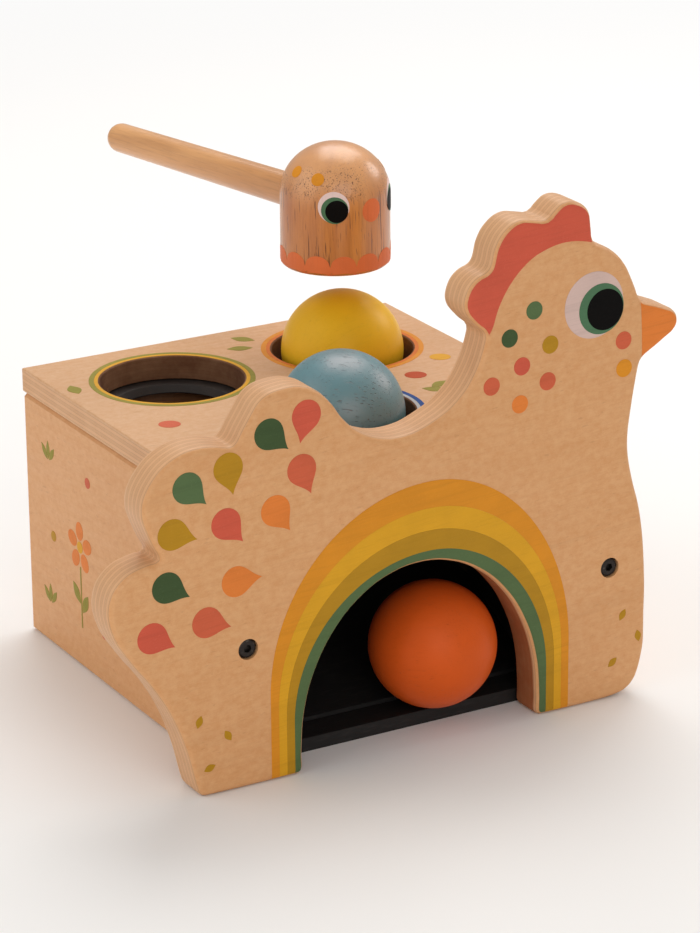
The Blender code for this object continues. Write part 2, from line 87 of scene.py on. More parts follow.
class Ink(Enum):
    """Colours of the printed marks."""

    RED = (205, 88, 65)
    CORAL = (204, 95, 63)
    ORANGE = (224, 126, 53)
    ORANGE_RED = (226, 117, 65)
    RUST = (214, 116, 36)
    BRICK = (188, 72, 22)
    AMBER = (219, 141, 32)
    YELLOW = (219, 160, 32)
    OLIVE = (181, 133, 24)
    GREEN = (84, 106, 66)
    IRIS = (76, 114, 82)
    DARK_GREEN = (62, 82, 46)
    LEAF = (146, 136, 48)
    BLUE = (24, 70, 138)
    PALE_BLUE = (180, 180, 182)
    WHITE = (211, 182, 172)
    PALE = (234, 208, 202)
    BLACK = (10, 8, 7)


def linear(colour: Sequence[float]) -> Colour:
    """Turn an sRGB colour into the linear one that shaders take.

    Args:
        colour: Red, green and blue.

    Returns:
        The linear colour from 0 to 1.
    """
    parts = [value / 255 for value in colour]
    return tuple(p / 12.92 if p <= 0.04045 else ((p + 0.055) / 1.055) ** 2.4 for p in parts)


def toned(colour: Sequence[float], share: float, lift: float = 0.0) -> Colour:
    """Return a colour with its values scaled by a share and lifted, to 255 at most."""
    return tuple(min(share * value + lift, 255.0) for value in colour)


# Node work shared by the finishes


@dataclass(frozen=True)
class Pattern:
    """A value or a colour that varies over a surface, open to plain arithmetic.

    Attributes:
        sheet: The material that it belongs to.
        socket: The output of the node that makes it.
    """

    sheet: "Shade"
    socket: bpy.types.NodeSocket

    def __add__(self, other: Any) -> "Pattern":
        """Return the sum."""
        return self.sheet.maths("ADD", self, other)

    def __sub__(self, other: Any) -> "Pattern":
        """Return the difference."""
        return self.sheet.maths("SUBTRACT", self, other)

    def __rsub__(self, other: float) -> "Pattern":
        """Return a number less this pattern."""
        return self.sheet.maths("SUBTRACT", other, self)

    def __mul__(self, other: Any) -> "Pattern":
        """Return the product."""
        return self.sheet.maths("MULTIPLY", self, other)

    def above(self, low: float, high: float) -> "Pattern":
        """Step from 0 to 1, smooth in between.

        Args:
            low: Value up to which the result is 0.
            high: Value from which it is 1.

        Returns:
            The step.
        """
        settings = {"interpolation_type": "SMOOTHSTEP", "clamp": True}
        node = self.sheet.add("ShaderNodeMapRange", settings, Value=self, From_Min=low,
                              From_Max=high)
        return Pattern(self.sheet, node.outputs[0])


class Shade:
    """A Principled material while its nodes are being laid out.

    Attributes:
        material: The material.
        tree: Its node tree.
        grain: Index of the axis that the grain follows.
        tilt: Turn that sets the grain's slant.
        surface: Its Principled node.
        place: The output that gives the piece's own coordinates.
    """

    def __init__(self, name: str, roughness: float = 0.5, shine: float = 0.35, grain: int = 0,
                 tilt: Turn = UNTURNED, **sockets: Any) -> None:
        """Start a material.

        Args:
            name: The material's name.
            roughness: Roughness of the bare surface.
            shine: Its specular level.
            grain: Index of the axis that the grain follows.
            tilt: Turn that sets the grain's slant.
            **sockets: Other inputs of the surface by name, with underscores for spaces.
        """
        self.material = bpy.data.materials.new(name)
        self.material.use_nodes = True
        self.tree = self.material.node_tree
        self.grain = grain
        self.tilt = tilt
        self.surface = self.tree.nodes["Principled BSDF"]
        self.fill(self.surface, Roughness=roughness, Specular_IOR_Level=shine, **sockets)
        self.place = self.add("ShaderNodeTexCoord").outputs["Object"]

    def add(self, kind: str, settings: Optional[dict[str, Any]] = None,
            **sockets: Any) -> bpy.types.Node:
        """Add a node.

        Args:
            kind: The node's type name.
            settings: Properties of the node itself.
            **sockets: Its inputs by name, with underscores for spaces.

        Returns:
            The new node.
        """
        node = self.tree.nodes.new(kind)
        for name, value in (settings or {}).items():
            setattr(node, name, value)
        self.fill(node, **sockets)
        return node

    def fill(self, node: bpy.types.Node, **sockets: Any) -> None:
        """Feed inputs of a node by name, with underscores for spaces."""
        for name, value in sockets.items():
            self.feed(node.inputs[name.replace("_", " ")], value)

    def feed_all(self, node: bpy.types.Node, *values: Any) -> None:
        """Feed the first inputs of a node in their order."""
        for socket, value in zip(node.inputs, values):
            self.feed(socket, value)

    def feed(self, socket: bpy.types.NodeSocket, value: Any) -> None:
        """Link a pattern to a socket, or set the socket's value.

        Args:
            socket: The input to fill.
            value: A pattern, a node's output, a number or a linear colour.
        """
        if isinstance(value, Pattern):
            value = value.socket
        if isinstance(value, bpy.types.NodeSocket):
            self.tree.links.new(value, socket)
        elif socket.type == "RGBA":
            socket.default_value = (*value, 1.0)
        else:
            socket.default_value = value

    def maths(self, operation: str, *values: Any) -> Pattern:
        """Calculate with one maths node.

        Args:
            operation: The node's operation.
            *values: The numbers and patterns that it takes.

        Returns:
            The result.
        """
        node = self.add("ShaderNodeMath", {"operation": operation})
        self.feed_all(node, *values)
        return Pattern(self, node.outputs[0])

    def axis(self, index: int) -> Pattern:
        """Return one of the piece's own coordinates in millimetres."""
        parts = self.add("ShaderNodeSeparateXYZ", Vector=self.place)
        return Pattern(self, parts.outputs[index]) * (1 / MM)

    def near(self, centre: Sequence[float], radii: Sequence[float]) -> Pattern:
        """Measure the distance from a centre, where 1 is on the ellipsoid of these radii.

        Args:
            centre: The middle.
            radii: Radius along each axis, 0 to leave an axis out.

        Returns:
            The distance.
        """
        scale = tuple(1 / (MM * r) if r else 0.0 for r in radii)
        shift = tuple(-c / r if r else 0.0 for c, r in zip(centre, radii))
        moved = self.add("ShaderNodeVectorMath", {"operation": "MULTIPLY_ADD"})
        self.feed_all(moved, self.place, scale, shift)
        length = self.add("ShaderNodeVectorMath", {"operation": "LENGTH"},
                          Vector=moved.outputs[0])
        return Pattern(self, length.outputs["Value"])

    def noise(self, repeats: Sequence[float], detail: float = 2, roughness: float = 0.5,
              distortion: float = 0, turn: Turn = UNTURNED) -> Pattern:
        """Lay out noise in the piece's own coordinates.

        Args:
            repeats: Repeats per metre along each axis.
            detail: Number of finer layers.
            roughness: Strength of each finer layer over the one before.
            distortion: How much the noise is bent.
            turn: Turn before the noise is read.

        Returns:
            Values about 0.5.
        """
        turned = self.add("ShaderNodeMapping", Vector=self.place,
                          Rotation=tuple(math.radians(a) for a in turn))
        scaled = self.add("ShaderNodeMapping", Vector=turned.outputs[0], Scale=tuple(repeats))
        node = self.add("ShaderNodeTexNoise", Vector=scaled.outputs[0], Scale=1, Detail=detail,
                        Roughness=roughness, Distortion=distortion)
        return Pattern(self, node.outputs["Fac"])

    def clouds(self, repeats: float, *character: float) -> Pattern:
        """Return noise that is alike in all directions, with noise()'s detail and so on."""
        return self.noise((repeats,) * 3, *character)

    def streaks(self, lengthwise: float, crosswise: float, detail: float = 2,
                roughness: float = 0.5, distortion: float = 0) -> Pattern:
        """Lay out noise that is drawn out along the grain.

        Args:
            lengthwise: Repeats per metre along the grain.
            crosswise: Repeats per metre across it.
            detail: Number of finer layers.
            roughness: Strength of each finer layer over the one before.
            distortion: How much the noise is bent.

        Returns:
            Values about 0.5.
        """
        repeats = [crosswise] * 3
        repeats[self.grain] = lengthwise
        return self.noise(repeats, detail, roughness, distortion, self.tilt)

    def blend(self, base: Any, tone: Any, amount: Any) -> Pattern:
        """Blend a colour towards a tone.

        Args:
            base: The colour so far, or its pattern.
            tone: The other colour, or its pattern.
            amount: Share of the tone, from 0 to 1.

        Returns:
            The blended colour.
        """
        base, tone = (c if isinstance(c, Pattern) else linear(c) for c in (base, tone))
        node = self.add("ShaderNodeMix", {"data_type": "RGBA"})
        for index, value in ((0, amount), (6, base), (7, tone)):
            self.feed(node.inputs[index], value)
        return Pattern(self, node.outputs[2])

    def layers(self, base: Any, *tones: tuple[Pattern, float, float, float, Colour]) -> Pattern:
        """Lay tones over a colour one by one.

        Args:
            base: The colour so far, or its pattern.
            *tones: For each its pattern, the values where it starts and is full, its strength
                and its colour.

        Returns:
            The colour with all the tones.
        """
        for pattern, low, high, strength, tone in tones:
            base = self.blend(base, tone, pattern.above(low, high) * strength)
        return base

    def finish(self, colour: Pattern, roughness: Any = None, relief: Any = None,
               depth: float = 0.2) -> bpy.types.Material:
        """Join the colour, roughness and relief to the surface.

        Args:
            colour: Its colour.
            roughness: Its roughness, or None for the value that is set.
            relief: Its relief, or None for none.
            depth: Height of the relief in millimetres.

        Returns:
            The finished material.
        """
        self.fill(self.surface, Base_Color=colour)
        if roughness is not None:
            self.fill(self.surface, Roughness=roughness)
        if relief is not None:
            bump = self.add("ShaderNodeBump", Height=relief, Strength=1.0, Distance=depth * MM)
            self.fill(self.surface, Normal=bump.outputs[0])
        return self.material


# Finishes


@dataclass(frozen=True)
class Plywood:
    """Lacquered birch plywood, with its veneers showing at the edges.

    Attributes:
        name: Name of the material.
        across: Index of the axis through the thickness.
        face_at: Place of one face on that axis.
        thickness: Thickness of the board.
        plies: Number of veneers.
        grain: Index of the axis that the face grain follows.
        tilt: Turn that sets the grain's slant.
        face: Colour of the outer veneer.
        dark: Colour of its late wood.
        edge: Colour of the edges' long grain.
        dark_inside: Whether the face that looks into the box is made near-black.
        inside_colour: Colour of that face.
        painted_shade_zones: Centres and radii inside which the walls get painted shade.
        painted_shade_from: Depth where the painted shade starts.
        painted_shade: Colour of the painted shade.
    """

    name: str
    across: int
    face_at: float
    thickness: float
    plies: int = 7
    grain: int = 0
    tilt: Turn = UNTURNED
    face: Colour = (219, 166, 116)
    dark: Colour = (188, 132, 82)
    edge: Colour = (216, 168, 124)
    dark_inside: bool = False
    inside_colour: Colour = (20, 17, 16)
    painted_shade_zones: tuple[tuple[Sequence[float], Sequence[float]], ...] = ()
    painted_shade_from: float = 0.0
    painted_shade: Colour = (112, 66, 36)

    def face_veneer(self, sheet: Shade) -> tuple[Pattern, Pattern, Pattern]:
        """Lay out the face veneer.

        Args:
            sheet: The material in hand.

        Returns:
            Its colour, its streaks and its fibres.
        """
        figure = sheet.streaks(7, 30, 3, 0.55, 0.5)
        streaks = sheet.streaks(14, 300, 4, 0.6, 0.5)
        fibres = sheet.streaks(130, 1700, 3, 0.6)
        lines = sheet.streaks(7, 130, 2, 0.5, 0.9)
        mottle = sheet.streaks(330, 430, 5, 0.8)
        flecks = sheet.streaks(260, 900)
        half = tuple(0.6 * f + 0.4 * d for f, d in zip(self.face, self.dark))
        warm = tuple(share * f for share, f in zip((0.92, 0.82, 0.66), self.face))
        colour = sheet.layers(
            self.face, (figure, 0.34, 0.76, 0.32, half), (streaks, 0.46, 0.72, 0.08, self.dark),
            (fibres, 0.46, 0.70, 0.16, self.dark), (lines, 0.60, 0.72, 0.09, toned(self.dark, 0.88)),
            (mottle, 0.30, 0.72, 0.54, warm), (flecks, 0.64, 0.76, 0.24, toned(warm, 0.80)))
        return colour, streaks, fibres

    def edge_plies(self, sheet: Shade, depth: Pattern, worn: Pattern) -> tuple[Pattern, Pattern]:
        """Lay out the veneers at the edges, every second one as end grain.

        Args:
            sheet: The material in hand.
            depth: Depth below the face.
            worn: Soft unevenness of the wood.

        Returns:
            Their colour and the glue lines.
        """
        bent = depth + (sheet.clouds(11, 3, 0.6) * 0.8 - 0.4)
        wave = sheet.maths("SINE", bent * (math.pi * self.plies / self.thickness))
        glue = 1.0 - sheet.maths("ABSOLUTE", wave).above(0.02, 0.26)
        ends = sheet.clouds(1700, 2, 0.6) * 0.42 + 0.02
        colour = sheet.layers(self.edge, (worn, 0.35, 0.75, 0.22, self.dark))
        colour = sheet.blend(colour, toned(self.dark, 0.92), wave.above(-0.35, 0.35) * ends)
        return sheet.blend(colour, toned(self.dark, 0.74), glue * worn), glue

    def build(self) -> bpy.types.Material:
        """Make the material.

        Returns:
            The material.
        """
        sheet = Shade(self.name, grain=self.grain, tilt=self.tilt)
        face, streaks, fibres = self.face_veneer(sheet)
        depth = sheet.maths("ABSOLUTE", sheet.axis(self.across) - self.face_at)
        worn = sheet.clouds(70, 4, 0.65)
        plies, glue = self.edge_plies(sheet, depth, worn)
        half = self.thickness / 2
        core = half - 0.8 * self.thickness / self.plies
        inner = core - sheet.maths("ABSOLUTE", depth - half)
        colour = sheet.blend(face, plies, inner.above(-0.15, 0.15))
        rough = streaks * 0.25 + 0.34
        # Painted shade: inside each zone and below painted_shade_from, the wood is darkened and made
        # rougher
        for centre, radii in self.painted_shade_zones:
            inside = 1.0 - sheet.near(centre, radii).above(1.020, 1.029)
            deep = depth.above(self.painted_shade_from - 0.4, self.painted_shade_from + 0.9)
            shaded_walls = inside * deep * (worn * 0.5 + 0.62)
            colour = sheet.blend(colour, self.painted_shade, shaded_walls)
            rough = sheet.maths("MAXIMUM", rough, shaded_walls)
        if self.dark_inside:
            inward = depth.above(self.thickness - 0.7, self.thickness - 0.3)
            colour = sheet.blend(colour, self.inside_colour, inward * 0.94)
        return sheet.finish(colour, rough, fibres * 0.36 + streaks * 0.2 - glue * 0.3, 0.10)


@dataclass(frozen=True)
class PrintInk:
    """A thin printed colour through which the grain faintly shows.

    Attributes:
        name: Name of the material.
        ink: The printed colour.
        grain: Index of the axis that the wood's grain follows.
        tilt: Turn that sets the grain's slant.
        strength: How much of the grain shows.
    """

    name: str
    ink: Ink
    grain: int = 0
    tilt: Turn = UNTURNED
    strength: float = 1.0

    def build(self) -> bpy.types.Material:
        """Make the material.

        Returns:
            The material.
        """
        shine = 0.06 if self.ink is Ink.BLACK else 0.18
        sheet = Shade(self.name, 0.5, shine, self.grain, self.tilt)
        streaks = sheet.streaks(12, 330, 4, 0.6, 0.2)
        fibres = sheet.streaks(75, 1900, 3, 0.6)
        grit = sheet.clouds(1300, 2, 0.6)
        deep = toned(self.ink.value, 0.90)
        colour = sheet.layers(
            self.ink.value, (sheet.clouds(70, 3), 0.35, 0.70, 0.35, deep),
            (streaks, 0.48, 0.72, 0.45 * self.strength, deep),
            (fibres, 0.50, 0.72, 0.35 * self.strength, deep),
            (grit, 0.56, 0.72, 0.45 * self.strength, toned(self.ink.value, 0.94, 14)))
        return sheet.finish(colour, streaks * 0.2 + 0.40, fibres + grit * 0.4, 0.05)


@dataclass
class InkTray:
    """The printed colours of one sub-assembly, each mixed once.

    Attributes:
        prefix: Start of the materials' names.
        grain: Index of the axis that the wood's grain follows.
        tilt: Turn that sets the grain's slant.
        strength: How much of the grain shows.
        mixed: The finishes made so far.
    """

    prefix: str = "print"
    grain: int = 0
    tilt: Turn = UNTURNED
    strength: float = 1.0
    mixed: dict[Ink, bpy.types.Material] = field(default_factory=dict)

    def take(self, ink: Ink) -> bpy.types.Material:
        """Mix a printed colour, or find it among those made before.

        Args:
            ink: The colour.

        Returns:
            Its finish.
        """
        if ink not in self.mixed:
            name = f"{self.prefix}_{ink.name.lower()}"
            self.mixed[ink] = PrintInk(name, ink, self.grain, self.tilt, self.strength).build()
        return self.mixed[ink]


@dataclass(frozen=True)
class BallPaint:
    """Satin paint on a turned wooden ball, whose open pores show through.

    Attributes:
        name: Name of the material.
        colour: Colour of the paint.
        pores: Share of open pores, from 0 to 1.
        lean: Turn of the grain.
        shine: Specular level of the paint.
        glint: Linear tint of its highlights.
        haze: Weight of the soft sheen over the paint.
    """

    name: str
    colour: Colour
    pores: float
    lean: Turn
    shine: float
    glint: Colour
    haze: float = 0.0

    def build(self) -> bpy.types.Material:
        """Make the material.

        Returns:
            The material.
        """
        sheet = Shade(self.name, 0.40, self.shine, tilt=self.lean, Specular_Tint=self.glint,
                      Coat_Weight=self.haze, Coat_Roughness=0.58)
        clouds = sheet.clouds(38, 3)
        lines = sheet.streaks(80, 700, 3, 0.55, 0.2)
        dashes = sheet.streaks(300, 2100).above(0.635, 0.70)
        dashes = dashes * sheet.clouds(75).above(0.34, 0.56) * self.pores
        deep = toned(self.colour, 0.94)
        colour = sheet.layers(self.colour, (clouds, 0.35, 0.7, 0.6, deep),
                              (lines, 0.52, 0.72, 0.4, deep))
        colour = sheet.blend(colour, toned(self.colour, 0.58), dashes * 0.8)
        relief = (sheet.clouds(900) + lines) * 0.10 - dashes
        return sheet.finish(colour, clouds * 0.12 + 0.34, relief, 0.25)


@dataclass(frozen=True)
class TurnedWood:
    """Varnished turned wood with dark pores along the grain.

    Attributes:
        name: Name of the material.
        grain: Index of the axis that the grain follows.
        tilt: Turn that sets the grain's slant.
        face: Colour of the wood.
        dark: Colour of its darker figure.
        pores: Strength of the dark pores, from 0 to 1.
        crown_at: Height where the dome's painted light and end-grain specks start, or None.
        pore: Colour of the pores and specks.
        painted_light_top: Paler colour painted over the dome above that height, as painted light.
    """

    name: str
    grain: int
    tilt: Turn
    face: Colour
    dark: Colour
    pores: float
    crown_at: Optional[float] = None
    pore: Colour = (80, 40, 18)
    painted_light_top: Colour = (224, 170, 120)

    def end_grain_and_light(self, sheet: Shade, colour: Pattern, pores: Pattern) -> tuple[Pattern, Pattern]:
        """Lay out the dome: painted light makes it paler, and pores show as a belt of specks.

        Args:
            sheet: The material in hand.
            colour: The colour so far.
            pores: The long pores.

        Returns:
            The colour with the painted light, and the pores with the specks.
        """
        rise = sheet.axis(2) - self.crown_at
        belt = rise.above(0, 4) - rise.above(10, 15) * 0.85
        painted_light_top = rise.above(-4, 10)
        patches = sheet.clouds(60).above(0.36, 0.60)
        specks = sheet.noise((2300, 2300, 1900)).above(0.60, 0.66) * (belt * patches)
        return (sheet.blend(colour, self.painted_light_top, painted_light_top * 0.6),
                sheet.maths("MAXIMUM", pores * (1.0 - painted_light_top), specks))

    def build(self) -> bpy.types.Material:
        """Make the material.

        Returns:
            The material.
        """
        sheet = Shade(self.name, 0.34, 0.5, self.grain, self.tilt, Coat_Weight=0.38,
                      Coat_Roughness=0.25)
        figure = sheet.streaks(9, 60, 3, 0.5, 0.8)
        band = sheet.streaks(20, 260, 4, 0.6, 0.3)
        fibres = sheet.streaks(90, 1500, 3, 0.6)
        gates = sheet.streaks(30, 90).above(0.36, 0.48)
        long_pores = sheet.streaks(26, 1000).above(0.605, 0.645) * gates
        short_pores = sheet.streaks(110, 1100).above(0.63, 0.68) * 0.5
        pores = sheet.maths("MAXIMUM", long_pores, short_pores) * self.pores
        colour = sheet.layers(
            self.face, (figure, 0.34, 0.72, 1.0, self.dark),
            (band, 0.45, 0.72, 0.35, toned(self.dark, 0.88)),
            (fibres, 0.48, 0.68, 0.22, toned(self.dark, 0.8)))
        if self.crown_at is not None:
            colour, pores = self.end_grain_and_light(sheet, colour, pores)
        colour = sheet.blend(colour, self.pore, pores * 0.84)
        return sheet.finish(colour, band * 0.1 + 0.28, fibres * 0.3 + band * 0.2 - pores, 0.15)


@dataclass(frozen=True)
class PlainWood:
    """Matt raw wood in one colour, for the parts inside the box.

    Attributes:
        name: Name of the material.
        colour: Colour of the wood.
        figure: Repeats per metre of the figure along each axis.
        matt: Roughness.
    """

    name: str
    colour: Colour
    figure: tuple[float, float, float]
    matt: float = 0.62

    def build(self) -> bpy.types.Material:
        """Make the material.

        Returns:
            The material.
        """
        sheet = Shade(self.name, self.matt)
        figure = sheet.noise(self.figure, 4, 0.6, 0.5)
        fibres = sheet.noise([18 * repeats for repeats in self.figure], 3, 0.6)
        scuffs = sheet.clouds(130, 4, 0.7, 0.4)
        light = toned(self.colour, 1.3, 13)
        colour = sheet.layers(
            self.colour, (figure, 0.35, 0.7, 1.0, toned(self.colour, 0.82)),
            (fibres, 0.5, 0.7, 0.5, light), (scuffs, 0.62, 0.75, 0.35, light))
        return sheet.finish(colour, scuffs * 0.2 + (self.matt - 0.1), fibres + figure, 0.10)


@dataclass(frozen=True)
class Rubber:
    """Moulded dark rubber with a dusty bloom and fine grit.

    Attributes:
        name: Name of the material.
        colour: Colour of the rubber.
    """

    name: str = "ring_rubber"
    colour: Colour = (40, 33, 29)

    def build(self) -> bpy.types.Material:
        """Make the material.

        Returns:
            The material.
        """
        sheet = Shade(self.name, 0.7)
        bloom = sheet.clouds(160, 4, 0.65, 0.4)
        grit = sheet.clouds(1800, 2, 0.6)
        colour = sheet.layers(self.colour, (bloom, 0.45, 0.75, 0.6, toned(self.colour, 1.5)))
        return sheet.finish(colour, bloom * 0.3 + 0.5, grit, 0.08)


@dataclass(frozen=True)
class BlackenedSteel:
    """Black-oxide steel with bright worn spots.

    Attributes:
        name: Name of the material.
        colour: Colour of the oxide.
        bright: Colour of the worn spots.
    """

    name: str = "blackened_steel"
    colour: Colour = (52, 47, 45)
    bright: Colour = (128, 120, 112)

    def build(self) -> bpy.types.Material:
        """Make the material.

        Returns:
            The material.
        """
        sheet = Shade(self.name, 0.42, Metallic=0.85)
        wear = sheet.clouds(420, 4, 0.7, 0.5)
        colour = sheet.layers(self.colour, (wear, 0.55, 0.75, 0.5, self.bright))
        return sheet.finish(colour, wear * 0.3 + 0.28, sheet.noise((1600, 300, 1600)), 0.04)


# Shapes shared by the sub-assemblies


@dataclass(frozen=True)
class Face:
    """A flat face of the toy, with its own two directions.

    Attributes:
        origin: A point on the face.
        right: Direction of the first coordinate.
        up: Direction of the second coordinate.
    """

    origin: Vector
    right: Vector
    up: Vector

    def at(self, u: float, v: float, out: float = 0.0) -> Vector:
        """Return the point at (u, v), out of the face by the given distance."""
        return self.origin + self.right * u + self.up * v + self.right.cross(self.up) * out


PANEL_FRONT = Face(Vector((0, -89, 0)), Vector((1, 0, 0)), Vector((0, 0, 1)))
BOX_TOP = Face(Vector((0, 0, 102)), Vector((1, 0, 0)), Vector((0, 1, 0)))
TAIL_SIDE = Face(Vector((-76, 0, 0)), Vector((0, -1, 0)), Vector((0, 0, 1)))


def middle(node: str) -> tuple[float, float, float]:
    """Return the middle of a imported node."""
    return tuple((low + high) / 2 / MM for low, high in zip(*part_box(node)))


def clean(mesh: bpy.types.Mesh, distance: float = 2e-7) -> None:
    """Join points that lie on one another, turn faces outwards and mark the sharp edges.

    Args:
        mesh: The mesh to change.
        distance: Distance in metres up to which points are joined.
    """
    bm = bmesh.new()
    bm.from_mesh(mesh)
    bmesh.ops.remove_doubles(bm, verts=bm.verts, dist=distance)
    bmesh.ops.recalc_face_normals(bm, faces=bm.faces)
    bm.to_mesh(mesh)
    bm.free()
    mesh.shade_smooth()
    mesh.set_sharp_from_angle(angle=SMOOTH_BELOW)


def add_object(name: str, verts: Sequence[Sequence[float]],
               faces: Sequence[Sequence[int]]) -> bpy.types.Object:
    """Make an object from a mesh in millimetres.

    Args:
        name: Name of the piece.
        verts: Its points.
        faces: Corner indices of each face.

    Returns:
        The linked object.
    """
    mesh = bpy.data.meshes.new(name)
    mesh.from_pydata([tuple(c * MM for c in v) for v in verts], [], [tuple(f) for f in faces])
    clean(mesh)
    piece = bpy.data.objects.new(name, mesh)
    bpy.context.scene.collection.objects.link(piece)
    return piece


def apply_modifiers(piece: bpy.types.Object) -> None:
    """Replace a piece's mesh with the one that its modifiers make.

    Args:
        piece: The object to change.
    """
    bpy.context.view_layer.update()
    graph = bpy.context.evaluated_depsgraph_get()
    mesh = bpy.data.meshes.new_from_object(piece.evaluated_get(graph), depsgraph=graph)
    piece.modifiers.clear()
    piece.data = mesh


def settle(piece: bpy.types.Object) -> None:
    """Weight a piece's normals by face area, so that flats shade flat beside round edges.

    Args:
        piece: The object to change.
    """
    weighted = piece.modifiers.new("normals", "WEIGHTED_NORMAL")
    weighted.keep_sharp = True
    weighted.weight = 90
    apply_modifiers(piece)


def carve(piece: bpy.types.Object, cutter: bpy.types.Object,
          operation: str = "DIFFERENCE") -> None:
    """Apply one Boolean to the piece, and remove the cutter.

    Args:
        piece: The object to change.
        cutter: The object that it is cut by or kept inside.
        operation: DIFFERENCE or INTERSECT.
    """
    boolean = piece.modifiers.new("cut", "BOOLEAN")
    boolean.operation = operation
    boolean.solver = "EXACT"
    boolean.object = cutter
    apply_modifiers(piece)
    clean(piece.data)
    bpy.data.objects.remove(cutter, do_unlink=True)


def bore(piece: bpy.types.Object, start: Sequence[float], end: Sequence[float], radius: float,
         sides: int = 32) -> None:
    """Cut a round hole.

    Args:
        piece: The object to change.
        start: Middle of one end of the hole.
        end: Middle of the other end.
        radius: Radius of the hole.
        sides: Number of sides.
    """
    ends = [Vector(start), Vector(end)]
    axis = (ends[1] - ends[0]).normalized()
    right = axis.orthogonal().normalized()
    up = axis.cross(right)
    verts = [p + right * u + up * v for p in ends for u, v in ring((0, 0), radius, sides)]
    faces = [(i, (i + 1) % sides, sides + (i + 1) % sides, sides + i) for i in range(sides)]
    faces += [tuple(range(sides))[::-1], tuple(range(sides, 2 * sides))]
    carve(piece, add_object("bore", verts, faces))


def hand_over(piece: bpy.types.Object, body: Body, slot: str, material: bpy.types.Material,
              *nodes: str) -> None:
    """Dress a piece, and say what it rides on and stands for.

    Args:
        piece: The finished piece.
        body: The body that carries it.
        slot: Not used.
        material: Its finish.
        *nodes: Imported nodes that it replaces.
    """
    piece.data.materials.clear()
    piece.data.materials.append(material)
    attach(piece, body.value)
    if nodes:
        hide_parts(*nodes)
    log.info("%s rides on %s, %d faces", piece.name, body.value, len(piece.data.polygons))


def placed(points: Sequence[Point], centre: Sequence[float], turn: float) -> Loop:
    """Return the points turned about the origin, then moved to the centre."""
    c, s = math.cos(math.radians(turn)), math.sin(math.radians(turn))
    return [(centre[0] + c * x - s * y, centre[1] + s * x + c * y) for x, y in points]


def ring(centre: Sequence[float], radius: float, count: int = 48, squash: float = 1.0,
         turn: float = 0.0) -> Loop:
    """Draw a circle or an ellipse counterclockwise.

    Args:
        centre: Its middle.
        radius: Its radius along the first axis.
        count: Number of points.
        squash: The second radius over the first.
        turn: Its turn.

    Returns:
        Its points.
    """
    turns = [2 * math.pi * i / count for i in range(count)]
    points = [(radius * math.cos(a), radius * squash * math.sin(a)) for a in turns]
    return placed(points, centre, turn)


def drop(centre: Sequence[float], radius: float, reach: float, heading: float,
         flare: float = 66.0) -> Loop:
    """Draw a drop: a round body with hollow sides that meet in a tip.

    Args:
        centre: Middle of the round body.
        radius: Radius of the body.
        reach: Distance from that middle to the tip.
        heading: Direction of the tip.
        flare: Angle from the tip's direction to where the sides leave the body.

    Returns:
        Its points.
    """
    start = math.radians(flare)
    body = [start + (2 * math.pi - 2 * start) * i / 48 for i in range(49)]
    points = [(radius * math.cos(a), radius * math.sin(a)) for a in body]
    # One side leaves the body along its tangent and comes to the tip at a slant
    last = Vector(points[-1])
    pull = last + Vector((math.sin(start), math.cos(start))) * radius * 0.5
    tip = Vector((reach, 0.0))
    lead = tip - Vector((0.62, 0.24)) * radius
    side = []
    parts = 14
    for i in range(1, parts):
        t = i / parts
        p = (last * (1 - t) ** 3 + pull * 3 * t * (1 - t) ** 2 + lead * 3 * t * t * (1 - t)
             + tip * t ** 3)
        side.append((p.x, p.y))
    points += side + [(tip.x, 0.0)] + [(x, -y) for x, y in reversed(side)]
    return placed(points, centre, heading)


def leaf(centre: Sequence[float], length: float, width: float, heading: float) -> Loop:
    """Draw a leaf that is pointed at both ends.

    Args:
        centre: Its middle.
        length: From tip to tip.
        width: Across the middle.
        heading: Direction of its length.

    Returns:
        Its points.
    """
    half = [(length * (i / 16 - 0.5), width / 2 * math.sin(math.pi * i / 16)) for i in range(17)]
    points = [(x, -y) for x, y in half] + half[-2:0:-1]
    return placed(points, centre, heading)


def area(loop: Sequence[Sequence[float]]) -> float:
    """Measure the area inside a loop.

    Args:
        loop: Points in order.

    Returns:
        The area, positive when the loop is counterclockwise.
    """
    p = np.asarray(loop, float)
    q = np.roll(p, -1, axis=0)
    return float(0.5 * np.sum(p[:, 0] * q[:, 1] - q[:, 0] * p[:, 1]))


def inset(loop: Sequence[Sequence[float]], distance: float) -> Loop:
    """Move a loop to its left by the distance, with mitred corners.

    Args:
        loop: Points in order.
        distance: How far to move, negative to the right.

    Returns:
        The moved loop.
    """
    p = np.asarray(loop, float)
    sides = []
    for edge in (p - np.roll(p, 1, axis=0), np.roll(p, -1, axis=0) - p):
        edge = edge / np.linalg.norm(edge, axis=1)[:, None]
        sides.append(np.stack([-edge[:, 1], edge[:, 0]], 1))
    mitre = sides[0] + sides[1]
    mitre /= np.linalg.norm(mitre, axis=1)[:, None]
    stretch = distance / np.clip(np.sum(mitre * sides[1], axis=1), 0.45, 1.0)
    return [tuple(q) for q in p + mitre * stretch[:, None]]


